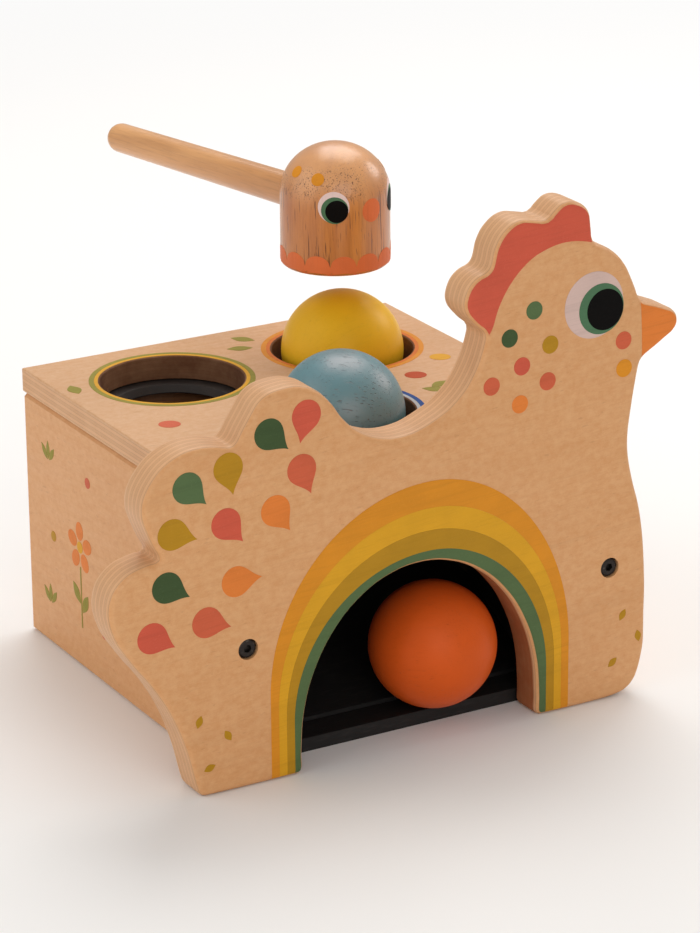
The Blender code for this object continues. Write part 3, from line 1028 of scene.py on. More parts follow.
def smoothed(loop: Loop, parts: int = 3, corner: float = 27.0) -> Loop:
    """Pass a curve through the points of a loop, and keep its corners.

    Args:
        loop: Points in order.
        parts: Pieces that each side becomes.
        corner: Turn above which a point is a corner.

    Returns:
        The finer loop.
    """
    p = [Vector(q) for q in loop]
    after = p[1:] + p[:1]
    sides = [b - a for a, b in zip(p, after)]
    bends = [math.degrees(sides[i - 1].angle(side)) > corner for i, side in enumerate(sides)]
    result: Loop = []
    for i, side in enumerate(sides):
        j = (i + 1) % len(p)
        start = side if bends[i] else after[i] - p[i - 1]
        end = side if bends[j] else after[j] - p[i]
        start, end = (way.normalized() * side.length for way in (start, end))
        for k in range(parts):
            t = k / parts
            q = (p[i] * (2 * t ** 3 - 3 * t ** 2 + 1) + start * (t ** 3 - 2 * t ** 2 + t)
                 + p[j] * (3 * t ** 2 - 2 * t ** 3) + end * (t ** 3 - t ** 2))
            result.append((q.x, q.y))
    return result


def stack(name: str, face: Face, loops: Sequence[Loop],
          levels: Sequence[tuple[float, float]]) -> bpy.types.Object:
    """Build a closed plate from copies of its loops, each at its own inset and height.

    Args:
        name: Name of the piece.
        face: The face that the plate lies on.
        loops: The outline, then the holes.
        levels: Inset and distance out of the face, from the back to the front.

    Returns:
        The object.
    """
    ordered = [list(loop) if (area(loop) > 0) == (i == 0) else list(loop)[::-1]
               for i, loop in enumerate(loops)]
    moved = [[inset(loop, distance) if distance else loop for loop in ordered]
             for distance, _ in levels]
    verts = [face.at(u, v, out) for layer, (_, out) in zip(moved, levels)
             for loop in layer for u, v in loop]
    total = sum(len(loop) for loop in ordered)
    faces: list[tuple[int, ...]] = []
    for level in range(len(levels) - 1):
        base = level * total
        for loop in ordered:
            count = len(loop)
            for i in range(count):
                a, b = base + i, base + (i + 1) % count
                faces.append((a, b, b + total, a + total))
            base += count
    for level, order in ((0, -1), (len(levels) - 1, 1)):
        outlines = [[Vector((u, v, 0)) for u, v in loop] for loop in moved[level]]
        for triangle in tessellate_polygon(outlines):
            faces.append(tuple(level * total + i for i in triangle)[::order])
    return add_object(name, verts, faces)


def rounded(thickness: float, radius: float, steps: int = 4) -> list[tuple[float, float]]:
    """Give the levels of a plate whose edges are rounded on both faces.

    Args:
        thickness: Thickness of the plate.
        radius: Radius of its edges.
        steps: Segments in each edge.

    Returns:
        Inset and distance out of the face of each level, from the back to the front.
    """
    quarter = [math.pi / 2 * i / steps for i in range(steps + 1)]
    edge = [(radius * (1 - math.cos(a)), radius * (1 - math.sin(a))) for a in quarter]
    back = [(inwards, down - thickness) for inwards, down in reversed(edge)]
    return back + [(inwards, -down) for inwards, down in edge]


def lathe(name: str, profile: Sequence[Point], place: Matrix,
          sides: int = ROUND) -> bpy.types.Object:
    """Turn a profile about an axis.

    Args:
        name: Name of the piece.
        profile: Radius and height of each point, with radius 0 at closed ends.
        place: Matrix from the lathe's space to the toy's.
        sides: Number of sides.

    Returns:
        The object.
    """
    verts: list[Vector] = []
    rows: list[list[int]] = []
    for radius, height in profile:
        if radius:
            rows.append(list(range(len(verts), len(verts) + sides)))
            circle = ring((0, 0), radius, sides)
        else:
            rows.append([len(verts)] * sides)
            circle = [(0.0, 0.0)]
        verts += [place @ Vector((x, y, height)) for x, y in circle]
    pairs = list(zip(rows, rows[1:]))
    if profile[0][0]:
        pairs.append((rows[-1], rows[0]))
    faces = []
    for low, high in pairs:
        for i in range(sides):
            j = (i + 1) % sides
            corners = tuple(dict.fromkeys((low[i], low[j], high[j], high[i])))
            if len(corners) > 2:
                faces.append(corners)
    return add_object(name, verts, faces)


def print_mark(name: str, face: Face, loops: Sequence[Loop], slot: str,
               ink: bpy.types.Material, lift: float = 0.0) -> None:
    """Print one flat mark on a board.

    Args:
        name: Name of the mark.
        face: The board's face.
        loops: The mark's outline, then its holes.
        slot: The record's material slot of the board.
        ink: Finish of the mark.
        lift: Extra height over the marks below it.
    """
    top = PROUD + lift
    plate = stack(name, face, loops, [(0, -SUNK), (0, top - CHAMFER), (CHAMFER, top)])
    hand_over(plate, Body.BOX, slot, ink)


# Hen panel


@dataclass
class HenPanel:
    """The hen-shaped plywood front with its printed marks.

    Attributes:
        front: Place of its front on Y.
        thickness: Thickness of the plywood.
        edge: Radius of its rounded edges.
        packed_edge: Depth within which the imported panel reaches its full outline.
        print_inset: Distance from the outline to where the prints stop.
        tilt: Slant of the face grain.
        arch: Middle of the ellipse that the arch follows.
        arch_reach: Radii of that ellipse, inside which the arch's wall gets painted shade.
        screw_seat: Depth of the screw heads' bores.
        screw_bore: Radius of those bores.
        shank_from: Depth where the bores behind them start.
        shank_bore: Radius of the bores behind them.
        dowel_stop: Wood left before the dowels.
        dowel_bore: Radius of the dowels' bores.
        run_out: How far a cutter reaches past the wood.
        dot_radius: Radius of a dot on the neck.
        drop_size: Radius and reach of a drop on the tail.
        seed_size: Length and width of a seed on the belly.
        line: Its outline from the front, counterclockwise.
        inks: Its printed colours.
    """

    front: float = -89.0
    thickness: float = 15.0
    edge: float = 2.3
    packed_edge: float = 3.1
    print_inset: float = 1.3
    tilt: Turn = (0.0, 4.5, 0.0)
    arch: tuple[float, float, float] = (-4.5, 0.0, 9.5)
    arch_reach: tuple[float, float, float] = (46.5, 0.0, 57.5)
    screw_seat: float = 4.3
    screw_bore: float = 3.7
    shank_from: float = 4.0
    shank_bore: float = 2.1
    dowel_stop: float = 4.7
    dowel_bore: float = 2.8
    run_out: float = 4.0
    dot_radius: float = 3.2
    drop_size: tuple[float, float] = (5.4, 9.6)
    seed_size: tuple[float, float] = (4.6, 2.6)
    line: Loop = field(init=False)
    inks: InkTray = field(init=False)

    def __post_init__(self) -> None:
        """Read the outline, and set out the inks."""
        self.line = smoothed(self.outline())
        self.inks = InkTray(tilt=self.tilt)

    def outline(self) -> Loop:
        """Read the panel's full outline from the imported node.

        Returns:
            Its points as (x, z), counterclockwise.
        """
        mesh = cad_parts["hen_panel"].data
        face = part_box("hen_panel")[0].y
        levels = {round(v.co.y, 5) for v in mesh.vertices}
        wide = max(y for y in levels if y < face + self.packed_edge * MM)
        keys = {v.index: (round(v.co.x / MM, 3), round(v.co.z / MM, 3))
                for v in mesh.vertices if abs(v.co.y - wide) < MM / 100}
        links: dict[Point, set[Point]] = {}
        for side in mesh.edges:
            a, b = (keys.get(i) for i in side.vertices)
            if a and b and a != b:
                links.setdefault(a, set()).add(b)
                links.setdefault(b, set()).add(a)
        loop = [min(links)]
        previous = None
        while True:
            following = [p for p in links[loop[-1]] if p != previous][0]
            if following == loop[0] and len(loop) > 2:
                break
            previous = loop[-1]
            loop.append(following)
        return loop if area(loop) > 0 else loop[::-1]

    def build(self) -> None:
        """Build the panel and all its marks."""
        panel = stack("hen_panel_front", PANEL_FRONT, [self.line],
                      rounded(self.thickness, self.edge))
        before, behind = -self.run_out, self.thickness + self.run_out
        for end in ("head", "tail"):
            screw = f"panel_screw_{end}_end"
            self.bore_for(panel, screw, before, self.screw_seat, self.screw_bore, 48)
            self.bore_for(panel, screw, self.shank_from, behind, self.shank_bore)
        for end in ("head", "tail"):
            for level in ("low", "high"):
                self.bore_for(panel, f"panel_dowel_{end}_{level}", self.dowel_stop, behind,
                              self.dowel_bore)
        settle(panel)
        # Painted shade on the wall inside the arch, deeper than 2.2 mm below the front
        plywood = Plywood("panel_birch", 1, self.front, self.thickness, 11, tilt=self.tilt,
                          painted_shade_zones=((self.arch, self.arch_reach),), painted_shade_from=2.2,
                          painted_shade=(160, 88, 44))
        hand_over(panel, Body.BOX, "panel_plywood", plywood.build(), "hen_panel")
        self.print_comb_and_beak()
        self.print_arch()
        self.print_eye()
        self.print_small_marks()

    def bore_for(self, panel: bpy.types.Object, node: str, start: float, end: float,
                 radius: float, sides: int = 32) -> None:
        """Bore the panel for a packed screw or dowel.

        Args:
            panel: The panel.
            node: The screw's or dowel's node.
            start: Depth below the front where it starts.
            end: Depth where it ends.
            radius: Radius of the hole.
            sides: Number of sides.
        """
        x, _, z = middle(node)
        bore(panel, (x, self.front + start, z), (x, self.front + end, z), radius, sides)

    def mark(self, name: str, ink: Ink, loop: Loop, lift: float = 0.0) -> None:
        """Print one flat mark on the front."""
        print_mark(name, PANEL_FRONT, [loop], "panel_plywood", self.inks.take(ink), lift)

    def edge_print(self, name: str, ink: Ink, loop: Loop) -> None:
        """Print a mark that runs over the start of the rounded edge.

        Args:
            name: Name of the mark.
            ink: Its colour.
            loop: The area that it covers, which may reach past the panel's outline.
        """
        levels = [(i, o + PROUD) for i, o in rounded(self.thickness, self.edge, 6)]
        skin = stack(name, PANEL_FRONT, [inset(self.line, -PROUD)], levels)
        fall = self.edge - math.sqrt(self.edge ** 2 - (self.edge - self.print_inset) ** 2)
        above = 2.0
        prism = stack("prism", PANEL_FRONT, [loop], [(0, -fall), (0, above)])
        carve(skin, prism, "INTERSECT")
        settle(skin)
        hand_over(skin, Body.BOX, "panel_plywood", self.inks.take(ink))

    def print_comb_and_beak(self) -> None:
        """Print the comb down to its lower edge, and the beak."""
        lower = [(20.2, 139.6), (21.6, 143.6), (23.1, 146.6), (24.5, 151.0), (26.5, 155.3),
                 (29.4, 159.8), (33.4, 164.2), (38.5, 168.0), (43.7, 170.1), (49.0, 171.3),
                 (54.2, 171.4), (58.6, 170.7), (62.9, 169.6), (67.0, 168.2)]
        comb = smoothed(lower + [(67, 190), (0, 190), (0, 139.6)], 4, 40)
        self.edge_print("comb_print", Ink.RED, comb)
        beak = [(82.6, 147.5), (82.4, 145.7), (83.0, 135.0), (83.3, 125.0), (83.3, 121.0),
                (105, 121), (105, 147.5)]
        self.edge_print("beak_print", Ink.ORANGE, beak)

    def print_arch(self) -> None:
        """Print the four bands round the arch, a hair apart."""
        edges = ((-1.8, 96.1, -63.4, 30.7, 54.8, 26.0), (-1.8, 86.5, -60.4, 25.1, 51.8, 23.7),
                 (-2.4, 78.5, -57.4, 21.5, 48.8, 20.3), (-2.2, 71.2, -54.4, 19.4, 45.6, 17.9),
                 (-4.5, 60.0, -44.0, 15.0, 35.0, 15.0))
        inks = (Ink.AMBER, Ink.YELLOW, Ink.OLIVE, Ink.GREEN)
        hair = 0.015
        for ink, outside, inside in zip(inks, edges, edges[1:]):
            band = self.band_edge(outside, -hair) + self.band_edge(inside, hair)[::-1]
            self.edge_print(f"arch_band_{ink.name.lower()}", ink, band)

    @staticmethod
    def band_edge(shape: Sequence[float], gap: float) -> Loop:
        """Draw one edge of a band: two quarter ellipses on straight legs.

        Args:
            shape: Place and height of its top, then the place of each leg and the height
                where it starts to lean in, for the tail side and the head side.
            gap: How far the edge is moved out.

        Returns:
            The edge from the tail side to the head side.
        """
        x, top, tail, tail_spring, head, head_spring = shape
        foot = -2.0
        points = [(tail - gap, foot)]
        for turn in np.linspace(math.pi, 0, 81):
            c, s = math.cos(turn), math.sin(turn)
            reach, spring = (x - tail, tail_spring) if c < 0 else (head - x, head_spring)
            points.append((x + (reach + gap) * c, spring + (top + gap - spring) * s))
        return points + [(head + gap, foot)]

    def print_eye(self) -> None:
        """Print the eye, each of its three rounds a little higher than the one before."""
        self.mark("eye_white_print", Ink.WHITE, ring((63.2, 147.5), 11.8, ROUND))
        self.mark("eye_green_print", Ink.IRIS, ring((66.2, 145.7), 9.0, ROUND), 0.06)
        self.mark("eye_black_print", Ink.BLACK, ring((67.7, 145.2), 7.3, ROUND), 0.12)

    def print_small_marks(self) -> None:
        """Print the dots on the neck, the drops on the tail and the seeds on the belly."""
        dots = (
            (39.3, 149.5, Ink.GREEN), (29.6, 141.2, Ink.DARK_GREEN), (45.8, 136.3, Ink.OLIVE),
            (34.6, 130.5, Ink.RED), (22.6, 125.4, Ink.CORAL), (44.9, 123.4, Ink.CORAL),
            (33.9, 117.1, Ink.ORANGE), (75.5, 132.8, Ink.CORAL), (75.9, 122.7, Ink.AMBER))
        for i, (x, z, ink) in enumerate(dots, 1):
            self.mark(f"neck_dot_{i}", ink, ring((x, z), self.dot_radius))
        drops = (
            (-62.5, 124.0, -42, Ink.DARK_GREEN), (-48.5, 128.0, -105, Ink.RED),
            (-50.5, 109.5, -69, Ink.CORAL), (-60.5, 97.0, -56, Ink.ORANGE),
            (-77.7, 115.0, -80, Ink.OLIVE), (-92.7, 111.0, -45, Ink.GREEN),
            (-78.9, 96.0, -50, Ink.RED), (-98.5, 96.0, -20, Ink.OLIVE),
            (-75.5, 75.0, 0, Ink.ORANGE), (-101.0, 78.0, -30, Ink.DARK_GREEN),
            (-86.7, 62.8, -20, Ink.CORAL), (-106.8, 61.4, -30, Ink.RED))
        for i, (x, z, heading, ink) in enumerate(drops, 1):
            self.mark(f"tail_drop_{i}", ink, drop((x, z), *self.drop_size, heading))
        seeds = ((77.2, 31.1, 60), (83.9, 21.8, 100), (73.3, 13.8, 40),
                 (-79.7, 20.7, 120), (-90.3, 27.9, 70), (-86.8, 10.4, 20))
        for i, (x, z, heading) in enumerate(seeds, 1):
            self.mark(f"belly_seed_{i}", Ink.OLIVE, leaf((x, z), *self.seed_size, heading))


# Box


@dataclass(frozen=True)
class Hole:
    """One hole in the top board, with a rubber ring below and two printed rings round it.

    Attributes:
        name: Where it is.
        x: Place of its middle on X.
        y: Place of its middle on Y.
        outside: Ink of the outer printed ring.
        inside: Ink of the inner one.
    """

    name: str
    x: float
    y: float
    outside: Ink
    inside: Ink


@dataclass
class BallBox:
    """The plywood box with its holes, rings, ramp and printed marks.

    Attributes:
        half_width: Half the box's width.
        front: Front of the top board.
        back: Back of the box.
        top: Height of the box.
        board: Thickness of the boards.
        ring_board_top: Height of the board that holds the rings.
        hole: Radius of the ball holes.
        rim: Radius of the holes' rounded rims.
        dowel_bore: Radius of the dowels' bores.
        dowel_stop: Wood left above the dowels.
        run_out: How far a cutter reaches past the wood.
        ring_edges: Outer radii of the two printed rings round a hole.
        ring_gaps: Bare wood inside each of them.
        socket_depth: Depth of the screws' hexagonal sockets.
        socket_radius: From their middle to their corners.
        top_leaf: Length and width of a leaf on the top board.
        stem_leaf: Length and width of a leaf on the flower's stem.
        sprig_leaf: Length and width of a leaf of a sprig.
        side_dot: Radius of a dot on the tail-side wall.
        inks: Its printed colours.
        holes: The holes.
    """

    half_width: float = 76.0
    front: float = -73.7
    back: float = 74.0
    top: float = 102.0
    board: float = 9.0
    ring_board_top: float = 92.7
    hole: float = 26.0
    rim: float = 0.6
    dowel_bore: float = 2.8
    dowel_stop: float = 2.7
    run_out: float = 3.0
    ring_edges: tuple[float, float] = (28.0, 29.9)
    ring_gaps: tuple[float, float] = (0.05, 0.04)
    socket_depth: float = 1.6
    socket_radius: float = 1.5
    top_leaf: tuple[float, float] = (9.5, 5.0)
    stem_leaf: tuple[float, float] = (9.0, 4.2)
    sprig_leaf: tuple[float, float] = (7.0, 2.6)
    side_dot: float = 2.0
    inks: InkTray = field(default_factory=InkTray)
    holes: tuple[Hole, ...] = (
        Hole("head_side", 35.0, 35.0, Ink.AMBER, Ink.RUST),
        Hole("tail_side", -35.0, 35.0, Ink.LEAF, Ink.YELLOW),
        Hole("front", 0.0, -26.0, Ink.BLUE, Ink.PALE_BLUE))

    def build(self) -> None:
        """Build the top board, the rings and the screws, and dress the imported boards."""
        self.build_top_board()
        self.build_rings()
        self.build_screws()
        self.dress_boards()
        self.print_hole_rings()
        self.print_top_marks()
        self.print_flower()
        self.print_sprigs_and_dots()

    def build_top_board(self) -> None:
        """Build the top board with its three rimmed holes and its dowel holes."""
        corners = [(-self.half_width, self.front), (self.half_width, self.front),
                   (self.half_width, self.back), (-self.half_width, self.back)]
        circles = [ring((hole.x, hole.y), self.hole, ROUND) for hole in self.holes]
        board = stack("top_board_birch", BOX_TOP, [corners, *circles],
                      rounded(self.board, self.rim, 3))
        for end in ("head", "tail"):
            for place in ("front", "back"):
                x, y, _ = middle(f"top_dowel_{end}_{place}")
                bore(board, (x, y, self.top - self.board - self.run_out),
                     (x, y, self.top - self.dowel_stop), self.dowel_bore)
        settle(board)
        # Painted shade down the walls of the three holes
        shaded_walls = tuple(((hole.x, hole.y, 0), (self.hole, self.hole, 0)) for hole in self.holes)
        plywood = Plywood("top_birch", 2, self.top, self.board, tilt=(0, 0, 4),
                          face=(214, 172, 132), painted_shade_zones=shaded_walls, painted_shade_from=-1.0,
                          painted_shade=(88, 50, 27))
        hand_over(board, Body.BOX, "box_plywood", plywood.build(), "top_board")

    def build_rings(self) -> None:
        """Build the three rubber rings, with a cone for the ball and soft edges."""
        rubber = Rubber().build()
        for hole in self.holes:
            node = f"ring_{hole.name}"
            low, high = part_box(node)
            outer = (high.x - low.x) / 2 / MM
            profile = [(21.2, 1.2), (21.5, 1.45), (22.1, 1.5), (outer - 0.4, 1.5), (outer, 1.1),
                       (outer, -1.1), (outer - 0.4, -1.5), (20.6, -1.5), (20.0, -1.4),
                       (19.85, -1.1)]
            place = Matrix.Translation((hole.x, hole.y, middle(node)[2]))
            piece = lathe(f"rubber_{node}", profile, place)
            settle(piece)
            hand_over(piece, Body.BOX, "rubber_ring", rubber, node)

    def build_screws(self) -> None:
        """Build the two socket screws."""
        steel = BlackenedSteel().build()
        profile = [(0.0, 0.0), (2.5, 0.0), (2.95, -0.08), (3.25, -0.3), (3.4, -0.75),
                   (3.35, -1.7), (1.8, -3.3), (1.8, -38.5), (0.0, -40.0)]
        turned = Matrix.Rotation(math.radians(90), 4, "X")
        for end in ("head_end", "tail_end"):
            node = f"panel_screw_{end}"
            x, _, z = middle(node)
            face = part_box(node)[0].y / MM
            piece = lathe(f"socket_screw_{end}", profile,
                          Matrix.Translation((x, face, z)) @ turned, 48)
            bore(piece, (x, face - 1, z), (x, face + self.socket_depth, z), self.socket_radius, 6)
            settle(piece)
            hand_over(piece, Body.BOX, "dark_steel", steel, node)

    def dress_boards(self) -> None:
        """Give every packed board, block and dowel its own wood."""
        finishes = {
            "head_end_wall": Plywood("head_wall_birch", 0, self.half_width, self.board, grain=1,
                                     dark_inside=True),
            "tail_end_wall": Plywood("tail_wall_birch", 0, -self.half_width, self.board, grain=1,
                                     tilt=(4, 0, 0), dark_inside=True),
            "back_wall": Plywood("back_wall_birch", 1, self.back, self.board, tilt=(0, -3, 0),
                                 dark_inside=True),
            # The ring board gets darker wood as painted shade where it shows deep in the holes
            "ring_board": Plywood("ring_board_birch", 2, self.ring_board_top, self.board,
                                  face=(150, 100, 62), dark=(120, 76, 44), edge=(130, 86, 52),
                                  dark_inside=True),
            "base_board": PlainWood("base_dark", (24, 21, 20), (9, 60, 60)),
            "ball_ramp": PlainWood("ramp_dark", (22, 20, 19), (9, 60, 60)),
            "guide_head_side": PlainWood("guide_dark_head", (23, 21, 20), (60, 9, 60)),
            "guide_tail_side": PlainWood("guide_dark_tail", (23, 21, 20), (60, 9, 60)),
            "ramp_batten": PlainWood("batten_wood", (178, 134, 92), (9, 60, 60)),
        }
        woods = {name: finish.build() for name, finish in finishes.items()}
        pegs = PlainWood("peg_beech", (196, 150, 104), (60, 60, 12)).build()
        woods.update({name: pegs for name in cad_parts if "_dowel_" in name})
        for name, wood in woods.items():
            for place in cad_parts[name].material_slots:
                place.material = wood
            log.info("%s keeps its packed shape", name)

    def mark(self, name: str, face: Face, ink: Ink, *loops: Loop) -> None:
        """Print one flat mark on a face of the box."""
        print_mark(name, face, loops, "box_plywood", self.inks.take(ink))

    def print_hole_rings(self) -> None:
        """Print the two rings round each hole."""
        bare_rim = self.hole + self.rim
        for hole in self.holes:
            start = bare_rim
            for layer, ink, edge, gap in zip(("inner", "outer"), (hole.inside, hole.outside),
                                             self.ring_edges, self.ring_gaps):
                self.mark(f"hole_{hole.name}_{layer}_ring", BOX_TOP, ink,
                          *(ring((hole.x, hole.y), r, ROUND) for r in (edge, start + gap)))
                start = edge

    def print_top_marks(self) -> None:
        """Print the ovals and leaves that are scattered over the top board."""
        ovals = (("yellow", 60, 7, 3.9, 0.9, Ink.YELLOW), ("red", 42, -6, 4.0, 0.92, Ink.BRICK),
                 ("coral", -58, -8, 3.9, 0.9, Ink.CORAL))
        for name, x, y, radius, squash, ink in ovals:
            self.mark(f"top_oval_{name}", BOX_TOP, ink,
                      ring((x, y), radius, squash=squash, turn=-31))
        leaves = ((40, -23, -40), (44.5, -19, 20), (8, 62, -50), (2, 53, -20),
                  (-70.4, 42, 84), (-60, -32, 30))
        for i, (x, y, heading) in enumerate(leaves, 1):
            self.mark(f"top_leaf_{i}", BOX_TOP, Ink.LEAF, leaf((x, y), *self.top_leaf, heading))

    def print_flower(self) -> None:
        """Print a plain flower on the tail-side wall."""
        heart, reach, petals = (-30, 47), 6.2, 5
        for i in range(petals):
            turn = 90 + 360 / petals * i
            petal = placed([(reach, 0)], heart, turn)[0]
            self.mark(f"side_petal_{i + 1}", TAIL_SIDE, Ink.ORANGE,
                      ring(petal, 3.5, squash=0.8, turn=turn))
        self.mark("side_flower_middle", TAIL_SIDE, Ink.YELLOW, ring(heart, 2.2, 40))
        stem = [(-30.4, 16), (-29.6, 16), (-29.6, 39.5), (-30.4, 39.5)]
        self.mark("side_stem", TAIL_SIDE, Ink.LEAF, stem)
        for i, (u, v, heading) in enumerate(((-26.8, 26, 60), (-33.6, 28.6, 130)), 1):
            self.mark(f"side_stem_leaf_{i}", TAIL_SIDE, Ink.LEAF,
                      leaf((u, v), *self.stem_leaf, heading))

    def print_sprigs_and_dots(self) -> None:
        """Print two sprigs of three leaves and some dots on the tail-side wall."""
        reach = 4.6
        for i, foot in enumerate(((-54, 72), (-56, 16)), 1):
            for k, heading in enumerate((92, 52, 132), 1):
                centre = placed([(reach, 0)], foot, heading)[0]
                self.mark(f"side_sprig_{i}_{k}", TAIL_SIDE, Ink.LEAF,
                          leaf(centre, *self.sprig_leaf, heading))
        dots = ((-22, 74, Ink.CORAL), (34, 66, Ink.AMBER), (-52, 44, Ink.OLIVE),
                (-12, 20, Ink.RED), (20, 14, Ink.CORAL), (46, 42, Ink.GREEN))
        for i, (u, v, ink) in enumerate(dots, 1):
            self.mark(f"side_dot_{i}", TAIL_SIDE, ink, ring((u, v), self.side_dot, 36))


# Balls


@dataclass
class PoundingBall:
    """One turned and painted ball, with the faint flats that hammering leaves.

    Attributes:
        body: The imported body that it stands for.
        paint: Its paint.
        seed: Seed of its dents.
        dents: Number of dents.
        spread: Least and greatest radius of a dent, in radians seen from the middle.
        sink: Depth of a dent.
        clearance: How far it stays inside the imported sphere.
    """

    body: Body
    paint: BallPaint
    seed: int
    dents: int = 26
    spread: tuple[float, float] = (0.05, 0.13)
    sink: float = 0.045
    clearance: float = 0.005

    def build(self) -> None:
        """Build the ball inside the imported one's sphere."""
        name = self.body.value
        low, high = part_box(name)
        radius = (high.z - low.z) / 2 / MM - self.clearance
        bm = bmesh.new()
        bmesh.ops.create_icosphere(bm, subdivisions=6, radius=1.0)
        points = np.array([v.co for v in bm.verts])
        faces = [tuple(v.index for v in f.verts) for f in bm.faces]
        bm.free()
        draw = np.random.default_rng(self.seed)
        centres = draw.normal(size=(self.dents, 3))
        centres /= np.linalg.norm(centres, axis=1)[:, None]
        sunk = np.zeros(len(points))
        for centre, size in zip(centres, draw.uniform(*self.spread, self.dents)):
            gap = np.arccos(np.clip(points @ centre, -1, 1)) / size
            sunk = np.maximum(sunk, self.sink * np.clip(1 - gap ** 2, 0, 1) ** 2)
        points = points * (radius - sunk)[:, None] + np.array(middle(name))
        piece = add_object(f"{name}_turned", points.tolist(), faces)
        hand_over(piece, self.body, name.replace("_ball", "_paint"), self.paint.build(), name)


# Hammer


@dataclass
class Hammer:
    """The bird-headed hammer: a turned head with printed marks, on a round handle.

    Attributes:
        radius: Radius of the head.
        shoulder: Height where the dome starts.
        height: Height of the head.
        edge: Radius of the striking face's edge.
        handle_height: Height of the handle over the striking face.
        handle_turn: Direction of the handle from +X.
        handle_root: Radius of the handle at the head.
        handle_tip: Radius of the handle at its round end.
        reach: From the head's axis to the handle's end.
        bore_radius: Radius of the bore for the handle.
        bore_from: From the head's axis to the bottom of that bore.
        scallops: Number of scallops in the printed band.
        sunk: Depth of the marks in the wood.
        origin: Middle of the striking face.
        path: The head's outline from the edge of the striking face up to the crown.
        inks: Its printed colours.
    """

    radius: float = 20.0
    shoulder: float = 26.0
    height: float = 44.5
    edge: float = 1.6
    handle_height: float = 21.5
    handle_turn: float = 101.8
    handle_root: float = 6.25
    handle_tip: float = 5.6
    reach: float = 130.0
    bore_radius: float = 6.38
    bore_from: float = 5.7
    scallops: int = 13
    sunk: float = 0.15
    origin: Vector = field(init=False)
    path: list[Point] = field(init=False)
    inks: InkTray = field(init=False)

    def __post_init__(self) -> None:
        """Find the striking face, draw the head's outline and set out the inks."""
        x, y, _ = middle("hammer_head")
        self.origin = Vector((x, y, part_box("hammer_head")[0].z / MM))
        self.path = self.profile()
        self.inks = InkTray("head", 2, strength=0.8)

    def profile(self) -> list[Point]:
        """Draw the head's outline.

        Returns:
            Radius and height of each point, from the edge of the striking face upwards.
        """
        quarter = math.pi / 2
        points = [(self.radius - self.edge * (1 - math.sin(a)), self.edge * (1 - math.cos(a)))
                  for a in np.linspace(0, quarter, 6)]
        points += [(self.radius, z) for z in np.linspace(self.edge, self.shoulder, 12)[1:]]
        dome = self.height - self.shoulder
        points += [(self.radius * math.cos(a), self.shoulder + dome * math.sin(a))
                   for a in np.linspace(0, quarter, 25)[1:-1]]
        return points + [(0.0, self.height)]

    def build(self) -> None:
        """Build the head, the handle and the marks."""
        self.build_head()
        self.build_handle()
        self.print_face()
        self.print_band()

    def build_head(self) -> None:
        """Turn the head, and bore it for the handle."""
        flat = self.radius - self.edge
        foot = [(0.0, 0.0), (flat * 0.5, 0.0), (flat * 0.85, 0.0)]
        head = lathe("hammer_head_turned", foot + self.path, Matrix.Translation(self.origin), 128)
        level = self.origin + Vector((0, 0, self.handle_height))
        way = Matrix.Rotation(math.radians(self.handle_turn), 3, "Z") @ Vector((1, 0, 0))
        bore(head, level + way * self.bore_from, level + way * self.radius * 2,
             self.bore_radius, 64)
        settle(head)
        # Above the shoulder the head's colour is made paler as painted light on the dome
        wood = TurnedWood("head_wood", 2, (0, 2, 40), (212, 138, 66), (174, 98, 38), 1.0,
                          self.origin.z + self.shoulder)
        hand_over(head, Body.HAMMER, "toasted_wood", wood.build(), "hammer_head")

    def build_handle(self) -> None:
        """Turn the handle, a little thinner towards its round end."""
        root, tip = self.handle_root, self.handle_tip
        profile = [(0.0, 6.0), (5.5, 6.0), (6.05, 6.25), (root, 6.9), (root, self.radius)]
        for t in np.linspace(0, 1, 14)[1:]:
            out = self.radius + (self.reach - tip - self.radius) * t
            profile.append((root + (tip - root) * t, out))
        for a in np.linspace(0, math.pi / 2, 9)[1:-1]:
            profile.append((tip * math.cos(a), self.reach - tip + tip * math.sin(a)))
        profile.append((0.0, self.reach))
        place = (Matrix.Translation(self.origin + Vector((0, 0, self.handle_height)))
                 @ Matrix.Rotation(math.radians(self.handle_turn), 4, "Z")
                 @ Matrix.Rotation(math.radians(90), 4, "Y"))
        handle = lathe("hammer_handle_turned", profile, place, 64)
        settle(handle)
        wood = TurnedWood("handle_wood_birch", 0, (0, 0, -self.handle_turn), (224, 167, 110),
                          (200, 140, 84), 0.10)
        hand_over(handle, Body.HAMMER, "handle_wood", wood.build(), "hammer_handle")

    def surface(self, heading: float, rise: float, out: float) -> Vector:
        """Find a point on the head.

        Args:
            heading: Direction round the axis from +X.
            rise: Distance up the outline from the edge of the striking face.
            out: Distance out of the wood.

        Returns:
            The point.
        """
        rest = max(rise, 0.0)
        for (r0, z0), (r1, z1) in zip(self.path, self.path[1:]):
            length = math.hypot(r1 - r0, z1 - z0)
            if rest <= length or r1 == 0.0:
                break
            rest -= length
        t = min(rest / length, 1.0)
        r = r0 + (r1 - r0) * t + (z1 - z0) / length * out
        z = z0 + (z1 - z0) * t - (r1 - r0) / length * out
        a = math.radians(heading)
        return self.origin + Vector((r * math.cos(a), r * math.sin(a), z))

